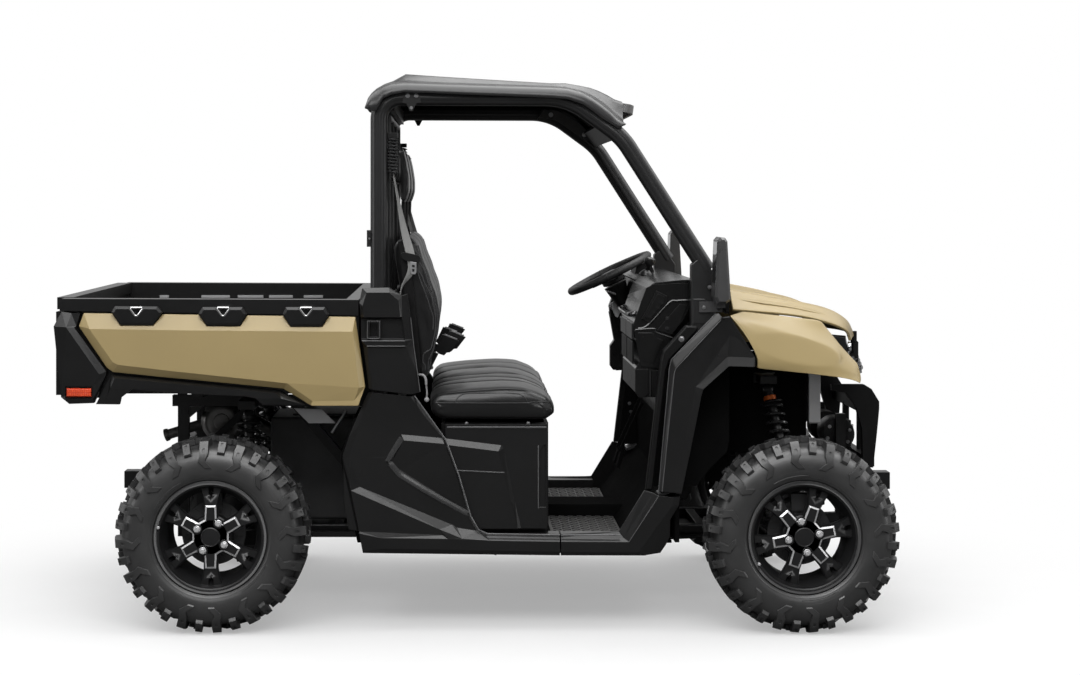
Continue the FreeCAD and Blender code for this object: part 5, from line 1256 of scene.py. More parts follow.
for y in (-330, 316):
    hi.add(*boxm(2290, 2311, y, y + 14, 963, 1014))
    hi.add(*cylm((2306, y - 1, 972), (2306, y + 15, 972), 9, n=20))
o = obj("hood_hinge_ears", hi, ["plastic_dark"], "hood", bevel=1.5)
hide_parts("hood")

# ---------------------------------------------------------------- tan fender
F_V = [(1797, -692, 1090), (1850, -708, 1026), (1894, -716, 943), (1889, -708, 909), (2222, -658, 872), (2260, -640, 851),
       (2270, -620, 868), (2258, -600, 918), (2212, -588, 966), (2135, -566, 1067), (1858, -606, 1100),
       (1846, -668, 1084), (1842, -702, 1058), (2164, -626, 1000), (1899, -720, 934), (2238, -648, 892), (2256, -624, 890)]
F_F = [(0, 12, 11, 10), (0, 1, 12), (10, 11, 13, 9), (11, 12, 13), (12, 1, 2, 14), (12, 14, 15, 13), (13, 15, 8, 9), (15, 16, 7, 8),
       (2, 3, 14), (14, 3, 4, 15), (15, 4, 5, 6, 16), (16, 6, 7)]
F_RIM = {(0, 1), (1, 2), (2, 3), (3, 4), (4, 5), (5, 6), (6, 7), (7, 8), (8, 9), (9, 10), (10, 0)}
for sgn, side in ((1, "right"), (-1, "left")):
    n_ = len(F_V)
    vs = [((x - X0) * S, sgn * y * S, z * S) for x, y, z in F_V] + [((x - X0) * S, sgn * (y + 17) * S, z * S) for x, y, z in F_V]
    fs = [tuple(f) for f in F_F] + [tuple(n_ + i for i in reversed(f)) for f in F_F]
    fs += [(b, a, n_ + a, n_ + b) for a, b in F_RIM]
    me = bpy.data.meshes.new("fender_shell_" + side)
    me.from_pydata(vs, [], fs)
    bm = bmesh.new()
    bm.from_mesh(me)
    bmesh.ops.recalc_face_normals(bm, faces=bm.faces)
    cl_ = bm.edges.layers.float.new("crease_edge")
    for e_ in bm.edges:
        a, b = sorted(v.index % n_ for v in e_.verts)
        across = e_.verts[0].index % n_ == e_.verts[1].index % n_
        if across:
            e_[cl_] = 0.55 if a in (0, 3, 5, 7, 9, 10) else 0.1
        elif (a, b) in F_RIM or (b, a) in F_RIM:
            e_[cl_] = 0.92
        elif (a, b) in {(12, 13), (14, 15), (13, 15), (12, 14)}:
            e_[cl_] = 0.5
    bm.to_mesh(me)
    bm.free()
    me.materials.append(MAT["tan"])
    me.polygons.foreach_set("use_smooth", [True] * len(me.polygons))
    fo = bpy.data.objects.new("fender_shell_" + side, me)
    SCENE.collection.objects.link(fo)
    sb2 = fo.modifiers.new("skin", "SUBSURF")
    sb2.levels = sb2.render_levels = 4
    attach(fo, "chassis")
    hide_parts("fender_panels")

# ---------------------------------------------------------------- pressed ridges along the hood
hood_tree = tree_of(bpy.data.objects["hood_shell"])
hri = Mesh()
for ya, yb, xa, xb in ((-540, -466, 1800, 2190), (-486, -420, 1742, 2150)):
    for sg in (1, -1):
        n = 22
        pts = [(xa + (xb - xa) * k / n, sg * (ya + (yb - ya) * k / n), 1300) for k in range(n + 1)]
        line = []
        for p in pts:
            hit = hood_tree.ray_cast(P(*p), Vector((0, 0, -1)))
            if hit[0] is not None and hit[0].z > 0.9:
                c = hit[0]
                line.append((c.x / S + X0, c.y / S, c.z / S - 5.0))
        if len(line) > 4:
            m = len(line)
            sc = [min(1.0, 0.35 + 1.3 * min(k, m - 1 - k) / m * 2) for k in range(m)]
            hri.add(*sweep(line, [(-20, -6), (-5, 8), (5, 8), (20, -6)], scale=sc))
obj("hood_ridges", hri, ["tan"], "hood", bevel=2.0, angle=30)

# ---------------------------------------------------------------- lamps and nose
hb, hr, hk = Mesh(), Mesh(), Mesh()
for s in (-1, 1):
    for k in range(3):
        c = (2266 - 5 * k, s * (392 + 30 * k), 964)
        hr.add(*lathe([(0, 10), (8, 14), (9, 15), (6, 15.8), (0, 16)], c, (1, s * 0.12, 0.05), 24))
        hb.add(*lathe([(0, 0.01), (0, 7), (4, 5), (6, 0.01)], c, (1, s * 0.12, 0.05), 18))
obj("lamp_bowls", hr, ["reflector"], "chassis")
obj("lamp_bulbs", hb, ["lens"], "chassis")

# ---------------------------------------------------------------- steering wheel
SC, SA = Vector((1457, 340, 1202)), Vector((-0.4363, 0, 0.8998)).normalized()
E1 = Vector((0, 1, 0))
E2 = SA.cross(E1).normalized()
if E2.x < 0:
    E2 = -E2
sw, sm_, sb = Mesh(), Mesh(), Mesh()
path, sc = [], []
for i in range(72):
    t = 2 * math.pi * i / 72
    path.append(SC + (E1 * math.cos(t) + E2 * math.sin(t)) * 168.5)
    sc.append(1.0 + 0.10 * max(0.0, math.cos(2 * (t - math.pi / 2 + math.pi / 2))) ** 2)
sw.add(*sweep(path, circle(14.6, 16), closed_path=True, up=SA, scale=sc))
for t0 in (math.radians(8), math.radians(172), math.radians(352), math.radians(188)):
    c = SC + (E1 * math.cos(t0) + E2 * math.sin(t0)) * 168.5
    tan = -E1 * math.sin(t0) + E2 * math.cos(t0)
    sw.add(*lathe([(-2.6, 15.4), (-1.2, 16.8), (1.2, 16.8), (2.6, 15.4)], c, tan, 20))
for d, wd in ((E1, 22), (-E1, 22), (-E2, 20)):
    side = SA.cross(d).normalized()
    for sgn in (-1, 1):
        pts = [SC - SA * 22 + d * 30 + side * sgn * wd * 0.9, SC - SA * 20 + d * 80 + side * sgn * wd * 0.75, SC - SA * 8 + d * 134 + side * sgn * wd * 0.8, SC + d * 160 + side * sgn * wd * 1.2]
        sw.add(*sweep(curve_pts(pts, 5), [(-5.5, -3.5), (5.5, -3.5), (5.5, 3.5), (-5.5, 3.5)], up=SA))
    pts = [SC - SA * 24 + d * 24, SC - SA * 22 + d * 86]
    sw.add(*sweep(pts, [(-wd, -3), (wd, -3), (wd, 3), (-wd, 3)], up=SA))
sw.add(*lathe([(-46, 0.01), (-46, 34), (-40, 45), (-22, 46), (-12, 52), (-4, 50), (2, 42), (4, 30), (4.5, 0.01)], SC, SA, 40))
o = obj("steering_wheel_grip", sw, ["grip"], "steering_wheel", bevel=0.8)
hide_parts("steering_wheel")
sb.add(*lathe([(3.6, 27), (5.6, 26), (6.6, 23), (6.8, 0.01)], SC, SA, 32))
o = obj("steering_wheel_cap", sb, ["plastic"], "steering_wheel")
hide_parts("steering_wheel")

# ---------------------------------------------------------------- dash
da, db, dl = Mesh(), Mesh(), Mesh()
# padded top with a rolled rear edge, and a stepped fascia
da.add(*prism([(1528, 1189), (1534, 1196), (1548, 1203), (1640, 1212), (1688, 1213), (1692, 1204), (1556, 1197), (1532, 1186)], -588, 588))
for s in (-1, 1):
    def e(pts, y0, y1):
        return prism(pts, min(s * y0, s * y1), max(s * y0, s * y1))
    db.add(*e([(1549.5, 1174), (1589, 1155), (1586.6, 1130), (1524.8, 1060), (1498, 1075), (1514, 1105)], 589, 600))
    db.add(*e([(1554, 1164), (1580, 1151), (1578, 1134), (1527, 1073), (1508, 1081), (1522, 1107)], 599, 603.4))
    for k in range(4):
        x, z = 1519 + k * 13.5, 1083 + k * 17
        dl.add(*e([(x, z), (x + 14, z - 7), (x + 16, z - 4), (x + 2, z + 3)], 602.4, 604.4))
    da.add(*e([(1472, 1035), (1487, 957), (1495, 907.6), (1559, 899), (1578, 960.5), (1606, 1006), (1549.5, 1024), (1541.7, 1038)], 589, 597))
    da.add(*e([(1484, 1026), (1496, 962), (1501, 924), (1540, 918), (1560, 964), (1574, 998), (1546, 1012), (1536, 1026)], 596, 599.4))
    db.add(*e([(1551, 1033), (1634, 1128), (1660, 1123), (1636, 1058), (1606, 1018)], 589, 593.5))
    for z in (1075, 1040):
        dl.join(bolt((1589, s * 593.5, z), (0, s, 0), 5.6, 4.5))
    dl.add(*sweep(curve_pts([(1486, s * 592, 1040), (1520, s * 593, 1052), (1594, s * 592, 1130), (1624, s * 592, 1138), (1668, s * 592, 1140)], 6), circle(4.2, 8)))
    dl.add(*sweep(curve_pts([(1476, s * 598, 1036), (1543, s * 598, 1040), (1550, s * 598, 1027), (1606, s * 598, 1008)], 5), circle(3.0, 8)))
    # lower bins
    db.add(*e([(1476, 897), (1524, 897), (1524, 812), (1512, 798), (1490, 796), (1478, 812)], 560, 596))
    dl.add(*e([(1526, 896), (1530, 896), (1531, 800), (1526, 800)], 588, 596))
    db.add(*e([(1533, 894), (1572, 892), (1574, 800), (1536, 800)], 586, 593))
# fascia on the passenger side: shelf, grab bar and a plain lid; on the driver's side a hooded display
for y0, y1 in ((-560, -330), (-318, -92)):
    dl.add(*boxm(1466, 1473.5, y0, y1, 1000, 1056))
    db.add(*boxm(1469, 1475, y0 + 6, y1 - 6, 912, 992))
dl.add(*sweep(curve_pts([(1484, -540, 1092), (1462, -520, 1086), (1460, -330, 1084), (1462, -140, 1086), (1484, -120, 1092)], 8), circle(9, 12)))
for y in (110, 200, 470, 520):
    dl.add(*lathe([(0, 13), (4, 13), (7, 10), (8, 0.01)], (1520, y, 1010), (-1, 0, 0), 20))
db.add(*prism([(1548, 1196), (1556, 1236), (1612, 1254), (1626, 1208)], 236, 444))
dl.add(*prism([(1551, 1204), (1557, 1234), (1559, 1233), (1553, 1203)], 254, 426))
o = obj("dash_pads", da, ["dash"], "chassis", bevel=2.4)
obj("dash_insets", db, ["plastic_dark"], "chassis", bevel=1.6)
obj("dash_trim", dl, ["gloss"], "chassis", bevel=0.8)
# column stalk parts, lock and gear lever head
cs, cg = Mesh(), Mesh()
cs.add(*prism([(1463, 1076), (1484, 1092), (1508, 1052), (1492, 1022), (1484, 1026)], 372, 396))
cs.add(*cylm((1474, 396, 1062), (1468, 410, 1070), 12, n=20))
cs.add(*prism([(1500, 1112), (1522, 1118), (1546, 1060), (1530, 1034), (1512, 1048)], 316, 362))
cs.add(*cylm((1476, 300, 1120), (1440, 236, 1134), 5, 4, 12))
cg.add(*lathe([(-22, 6), (-18, 12), (-6, 20), (4, 22.5), (12, 21), (18, 14), (19.5, 0.01)], (1588, 40, 1256), (0.25, 0, 1), 28))
cg.add(*lathe([(0, 26), (4, 25), (14, 17), (20, 10)], (1573, 40, 1206), (0.2, 0, 1), 28))
obj("column_lock", cs, ["grey_panel"], "chassis", bevel=1.6)
obj("gear_knob", cg, ["plastic"], "chassis")

# ---------------------------------------------------------------- coil-overs
sp, sb_, so_, se = Mesh(), Mesh(), Mesh(), Mesh()


def coil(top, bot, r, wire, turns, t0, t1, body_r, front):
    top, bot = Vector(top), Vector(bot)
    d, a, b = frame_of(bot - top)
    L = (bot - top).length
    path = []
    n = int(turns * 20)
    for i in range(n + 1):
        f = i / n
        th = 2 * math.pi * turns * f
        path.append(top + d * (L * (t0 + (t1 - t0) * f)) + (a * math.cos(th) + b * math.sin(th)) * r)
    sp.add(*sweep(path, circle(wire, 8)))
    sb_.add(*cylm(top + d * L * 0.02, top + d * L * (t0 + 0.02), body_r * 0.62, n=24))
    sb_.add(*lathe([(0, r + 2), (5, r + wire + 1), (9, r + wire + 1), (11, r - 4), (11, body_r * 0.5)], top + d * L * (t0 - 0.03), d, 32))
    (so_ if front else sb_).add(*lathe([(0, 12), (1, 21), (3, 23.5), (15, 23.5), (18, 22), (19, 12)], top + d * (L * t0 - 36), d, 28))
    sb_.add(*cylm(top + d * L * t0, top + d * L * 0.60, body_r * 0.58, n=24))
    se.add(*cylm(top + d * L * 0.58, top + d * L * 0.82, body_r * 0.32, n=18))
    sb_.add(*lathe([(0, body_r * 0.5), (3, r + wire), (10, r + wire), (14, r - 2), (22, body_r * 0.5)], top + d * L * t1, d, 32))
    sb_.add(*cylm(top + d * L * (t1 + 0.02), bot - d * 16, body_r * 0.5, n=20))
    for c, ax in ((top, Vector((1, 0, 0))), (bot, Vector((1, 0, 0)))):
        sb_.add(*lathe([(-15, 9), (-15, 16), (-12, 18), (12, 18), (15, 16), (15, 9)], c, ax, 28))
        se.add(*lathe([(-19, 0.01), (-19, 8), (-17, 10), (17, 10), (19, 8), (19, 0.01)], c, ax, 20))


coil((1985, -322, 800), (2084, -462, 333), 37, 6.4, 10.5, 0.12, 0.80, 30, True)
coil((92, -392, 716), (106, -446, 350), 39, 6.6, 8.5, 0.10, 0.78, 32, False)
for m_ in (sp, sb_, so_, se):
    m_.join(Mesh().join(m_).mirrored())
for nm, m_, mt, sl in (("coil_springs", sp, "spring", "spring_steel"), ("damper_bodies", sb_, "steel_black", "black_steel"), ("preload_rings", so_, "orange", "cast_metal"), ("damper_rods", se, "zinc", "rod_chrome")):
    o = obj(nm, m_, [mt], "chassis", bevel=0.8 if nm == "damper_bodies" else 0.0)
    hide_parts("shock_absorbers")

# ---------------------------------------------------------------- small parts on the frame and nose
al, bl_, gp, dk = Mesh(), Mesh(), Mesh(), Mesh()
# radiator tanks, core and cap
for s in (-1, 1):
    gp.add(*boxm(2142, 2184, s * 286 - 10, s * 286 + 10, 676, 898))
    gp.add(*cylm((2163, s * 286, 896), (2163, s * 286, 912), 12, n=20))
for i in range(70):
    y = -268 + i * 7.77
    al.add([(2183, y, 682), (2187, y + 1.2, 682), (2183, y + 2.4, 682), (2183, y, 894), (2187, y + 1.2, 894), (2183, y + 2.4, 894)], [(0, 1, 4, 3), (1, 2, 5, 4), (2, 0, 3, 5), (0, 2, 1), (3, 4, 5)])
# winch drum, cable turns and end plates
prof = [(-58, 30)]
for i in range(29):
    prof += [(-56 + i * 4, 33.2), (-54 + i * 4, 36.4)]
prof += [(58, 33)]
al.add(*lathe(prof, (2272, 0, 620), (0, 1, 0), 36))
for y, w in ((-181.5, 1), (-120, 0), (151.5, 1)):
    bl_.add(*lathe([(-4, 20), (-4, 56), (-2, 60), (2, 60), (4, 57), (4, 20)], (2272, y + (0 if w else 0), 620), (0, 1, 0), 40))
for k in range(6):
    a = math.radians(60 * k + 20)
    al.join(bolt((2272 + 44 * math.cos(a), -186, 620 + 44 * math.sin(a)), (0, -1, 0), 5, 4))
bl_.add(*lathe([(0, 24), (3, 24), (4, 20), (4, 12), (1, 10), (1, 0.01)], (2272, -186, 620), (0, -1, 0), 30))
# rollers of the fairlead
for y in (-88, 88):
    al.add(*cylm((2338, y, 590), (2338, y, 646), 8, n=20))
# nose slats
for k, z in enumerate((876, 889, 902, 915)):
    f = (z - 862) / 64.0
    pts = [(2196 + 6 + (2285 - 2196) * 0.9, -444 + 6 * f, z), (2285 - 17 * f + 2, -440 + 6 * f, z), (2330 - 24 * f + 3, -328, z), (2360 - 26 * f + 3, -170, z), (2368 - 27 * f + 3, 0, z)]
    pts = pts[1:]
    full = pts + [(x, -y, zz) for x, y, zz in reversed(pts[:-1])]
    dk.add(*sweep(curve_pts(full, 5), [(-4, -3), (4, -2), (4, 2), (-4, 3)]))
# bed release lever and its plate
al.add(*sweep(curve_pts([(456, -600, 753), (447, -602, 736), (436, -604, 718), (406, -606, 673)], 5), circle(5.5, 10)))
gq = Mesh()
gq.add(*prism([(272, 760), (371, 757), (420, 707), (325, 707)], -606, -600))
obj("bed_lever_plate", gq, ["grey_panel"], "chassis", bevel=1.5)
# door striker brackets behind the rear pillars
for s in (-1, 1):
    bl_.add(*prism([(532, 1388), (572, 1388), (572, 1377), (547, 1377), (547, 1341), (572, 1341), (572, 1330), (532, 1330)], min(s * 634, s * 668), max(s * 634, s * 668)))
    al.add(*cylm((541, s * 669, 1359), (541, s * 633, 1359), 4, n=12))
    # tabs under the roof tubes
    bl_.add(*prism([(656, 1832), (662, 1868), (716, 1868), (722, 1832), (706, 1830), (692, 1803), (683, 1803), (669, 1830)], min(s * 681, s * 684.5), max(s * 681, s * 684.5)))
    for x in (675, 705):
        al.join(bolt((x, s * 684.5, 1857), (0, s, 0), 5.5, 4))
    al.add(*lathe([(0, 3.4), (0, 5.6), (1.2, 5.6), (1.2, 3.4)], (687.5, s * 684.5, 1815), (0, s, 0), 18))
    # bolts on the jamb, pillar foot, toe panel and mirror foot
    al.join(bolt((1625, s * 716.5, 1012), (0, s, 0), 7.5, 4))
    for x, z in ((1726, 1190), (1706, 1120)):
        al.join(bolt((x, s * 690.5, z), (0, s, 0), 5, 3.5))
    for x, z in ((1560, 655), (1566, 620)):
        al.join(bolt((x, s * 604, z), (0, -s, 0), 5.5, 3.5))
    # mirror glass in its frame
    gl = [(1732.6, s * 700, 1166), (1732.6, s * 792, 1166), (1739.2, s * 792, 1346), (1739.2, s * 700, 1346)]
# wheel arch edge clips along the sill and the side panel
    for x in (980, 1100, 1300):
        bl_.add(*lathe([(0, 7), (1.6, 6.6), (2.4, 3), (2.4, 0.01)], (x, s * 728, 271), (0, s, -0.2), 16))
for nm, m_, mt, sl, bv_ in (("bright_fasteners", al, "zinc", "alloy_grey", 0.0), ("black_brackets", bl_, "steel_black", "black_steel", 1.0), ("radiator_tanks", gp, "tank", "alloy_grey", 2.0), ("nose_slats", dk, "plastic", "black_plastic", 0.8)):
    obj(nm, m_, [mt], "chassis", bevel=bv_)
mg = Mesh()
for s in (-1, 1):
    y0, y1 = sorted((s * 697, s * 793))
    mg.add([(1731.4, y0, 1160), (1731.4, y1, 1160), (1738.6, y1, 1350), (1738.6, y0, 1350), (1734, y0, 1160), (1734, y1, 1160), (1741, y1, 1350), (1741, y0, 1350)],
           [(0, 1, 2, 3), (7, 6, 5, 4), (0, 4, 5, 1), (1, 5, 6, 2), (2, 6, 7, 3), (3, 7, 4, 0)])
obj("mirror_glass", mg, ["mirror"], "chassis", bevel=1.0)

# ---------------------------------------------------------------- muffler
mf = Mesh()
prof = [(-234, 0.01), (-234, 44), (-230, 58), (-222, 70), (-212, 76), (-204, 77.5), (-200, 80), (-194, 80), (-190, 77)]
for y in (-120, 0, 120):
    prof += [(y - 6, 77), (y - 3, 79), (y + 3, 79), (y + 6, 77)]
prof += [(190, 77), (194, 80), (200, 80), (204, 77.5), (212, 76), (222, 70), (230, 58), (234, 44), (234, 0.01)]
mf.add(*lathe(prof, (-26, 0, 672), (0, 1, 0), 56))
mf.add(*lathe([(0, 30), (4, 29), (6, 24), (6, 0.01)], (-26, -233, 672), (0, -1, 0), 32))
mf.add(*sweep(curve_pts([(-26, 100, 662), (60, 100, 640), (130, 100, 600), (148, 100, 586)], 6), circle(24, 20)))
mf.add(*sweep(curve_pts([(-70, -140, 662), (-120, -140, 650), (-190, -140, 628), (-244, -140, 611)], 6), circle(19, 20)))
mf.add(*lathe([(-6, 16), (-6, 22), (0, 23.5), (8, 23.5), (10, 20), (-30, 17)], (-240, -140, 612.5), (-1, 0, -0.3), 26))
for y in (-150, 150):
    mf.add(*boxm(-36, -16, y - 12, y + 12, 744, 758))
o = obj("muffler_shell", mf, ["muffler"], "chassis")
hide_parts("exhaust_muffler")

# ---------------------------------------------------------------- rear screen
rs = Mesh()
a = 600
for p, q, r in (((604, -a, 1135), (604, -a, 1790), 11), ((604, a, 1135), (604, a, 1790), 11), ((604, -a, 1135), (604, a, 1135), 11), ((604, -a, 1790), (604, a, 1790), 11),
                ((604, -215, 1135), (604, -215, 1790), 9), ((604, 215, 1135), (604, 215, 1790), 9), ((604, -a, 1570), (604, a, 1570), 12)):
    rs.add(*cylm(p, q, r, n=18))
for c in (-457, 0, 457):
    for dy in (-50, 50):
        rs.add(*cylm((604, c + dy, 1570), (632, c + dy, 1570), 8, n=14))
for i in range(1, 40):
    y = -a + i * 30
    rs.add(*cylm((603 + (1.6 if i % 2 else -1.6), y, 1138), (603 + (1.6 if i % 2 else -1.6), y, 1788), 1.7, n=6))
for i in range(1, 22):
    z = 1135 + i * 30
    rs.add(*cylm((603, -a, z), (603, a, z), 1.7, n=6))
o = obj("rear_screen_mesh", rs, ["steel_black"], "chassis")
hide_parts("rear_screen")

# ---------------------------------------------------------------- cargo bed fittings
bd, bs, bf = Mesh(), Mesh(), Mesh()
for i in range(13):
    y = -540 + i * 90
    bd.add(*prism([(-486, 846), (-480, 851), (448, 851), (454, 846)], y - 16, y + 16))
for s in (-1, 1):
    for x0, x1 in ((-385, -347), (-212, -94), (-61, 45), (68, 167), (213, 292)):
        y0, y1 = sorted((s * 646, s * 653))
        bf.add(*boxm(x0, x1, y0, y1, 1088, 1099))
    for c in (-261.0, 38.8, 325.6):
        tri = [(c - 25, 1121), (c + 25, 1121), (c + 4, 1093), (c - 4, 1093)]
        path = []
        for i in range(4):
            p, q = Vector(tri[i]), Vector(tri[(i + 1) % 4])
            for k in (0.12, 0.5, 0.88):
                w = p + (q - p) * k
                path.append((w.x, s * 739.5, w.y))
        bs.add(*sweep(path, circle(3.7, 10), closed_path=True, up=Vector((0, 1, 0))))
        bs.add(*cylm((c - 6, s * 726, 1120), (c - 6, s * 739, 1120), 3.6, n=10))
        bs.add(*cylm((c + 6, s * 726, 1120), (c + 6, s * 739, 1120), 3.6, n=10))
obj("bed_floor_ribs", bd, ["plastic"], "cargo_bed", bevel=1.2)
obj("bed_wall_ledges", bf, ["grey_panel"], "cargo_bed", bevel=1.0)
obj("tie_down_rings", bs, ["chrome"], "cargo_bed")
tl = Mesh()
for s in (-1, 1):
    for i in range(11):
        x = -500 + i * 7.6
        y0, y1 = sorted((s * 736.5, s * 738.2))
        tl.add(*boxm(x, x + 5.2, y0, y1, 816, 826))
        tl.add(*boxm(x, x + 5.2, y0, y1, 828.5, 838.5))
obj("tail_light_cells", tl, ["tail_hi"], "cargo_bed", bevel=0.5)
# tailgate: framed panel and handle
tg = Mesh()
for y0, y1 in ((-590, -215), (-190, 190), (215, 590)):
    tg.add([(-547, y0, 890), (-547, y1, 890), (-547, y1, 1085), (-547, y0, 1085), (-552, y0 + 14, 904), (-552, y1 - 14, 904), (-552, y1 - 14, 1071), (-552, y0 + 14, 1071)],
           [(0, 1, 5, 4), (1, 2, 6, 5), (2, 3, 7, 6), (3, 0, 4, 7), (4, 5, 6, 7), (3, 2, 1, 0)])
tg.add(*sweep(curve_pts([(-548, -70, 1096), (-555, -60, 1094), (-555.5, 0, 1093), (-555, 60, 1094), (-548, 70, 1096)], 6), [(-8, -3), (8, -3), (8, 3), (-8, 3)]))
obj("tailgate_panels", tg, ["plastic"], "tailgate", bevel=2.0)

# ---------------------------------------------------------------- seat base trim, in the light lip colour: painted highlight along the base's edges
sbt = Mesh()
for s in (-1, 1):
    y0, y1 = sorted((s * 699.5, s * 702.5))
    sbt.add(*prism([(842, 556), (1012, 548), (1012, 544), (842, 552)], y0, y1))
    sbt.add(*prism([(812, 700), (1158, 700), (1158, 706), (812, 706)], sorted((s * 689, s * 694))[0], sorted((s * 689, s * 694))[1]))
    sbt.add(*prism([(1128, 640), (1132, 640), (1132, 420), (1128, 420)], sorted((s * 689, s * 692))[0], sorted((s * 689, s * 692))[1]))
    for x in (880, 1095):
        sbt.add(*lathe([(0, 7), (5, 7), (9, 4), (10, 0.01)], (x, s * 684, 712), (0, 0, 1), 18))
obj("seat_base_trim", sbt, ["lip"], "chassis", bevel=1.0)

# ---------------------------------------------------------------- floor mats
fm_ = Mesh()
for s in (-1, 1):
    y0, y1 = sorted((s * 116, s * 622))
    fm_.add(*boxm(1184, 1436, y0, y1, 300.2, 303))
    for i in range(22):
        for j in range(7):
            x = 1194 + j * 34 + (8 if i % 2 else 0)
            y = s * (130 + i * 22.5)
            fm_.add(*prism([(x, 302.5), (x + 2, 306.2), (x + 22, 306.2), (x + 24, 302.5)], y - 6, y + 6))
obj("floor_mats", fm_, ["mat"], "chassis", bevel=0.0)


# ---------------------------------------------------------------- wheels
def inset2d(pts, d):
    """polygon (counterclockwise) moved inwards by d"""
    n = len(pts)
    out = []
    for i in range(n):
        a, b, c = Vector(pts[i - 1]), Vector(pts[i]), Vector(pts[(i + 1) % n])
        e1, e2 = (b - a).normalized(), (c - b).normalized()
        n1, n2 = Vector((-e1.y, e1.x)), Vector((-e2.y, e2.x))
        k = 1 + n1.dot(n2)
        out.append(b + (n1 + n2) * (d / max(k, 0.35)))
    return out


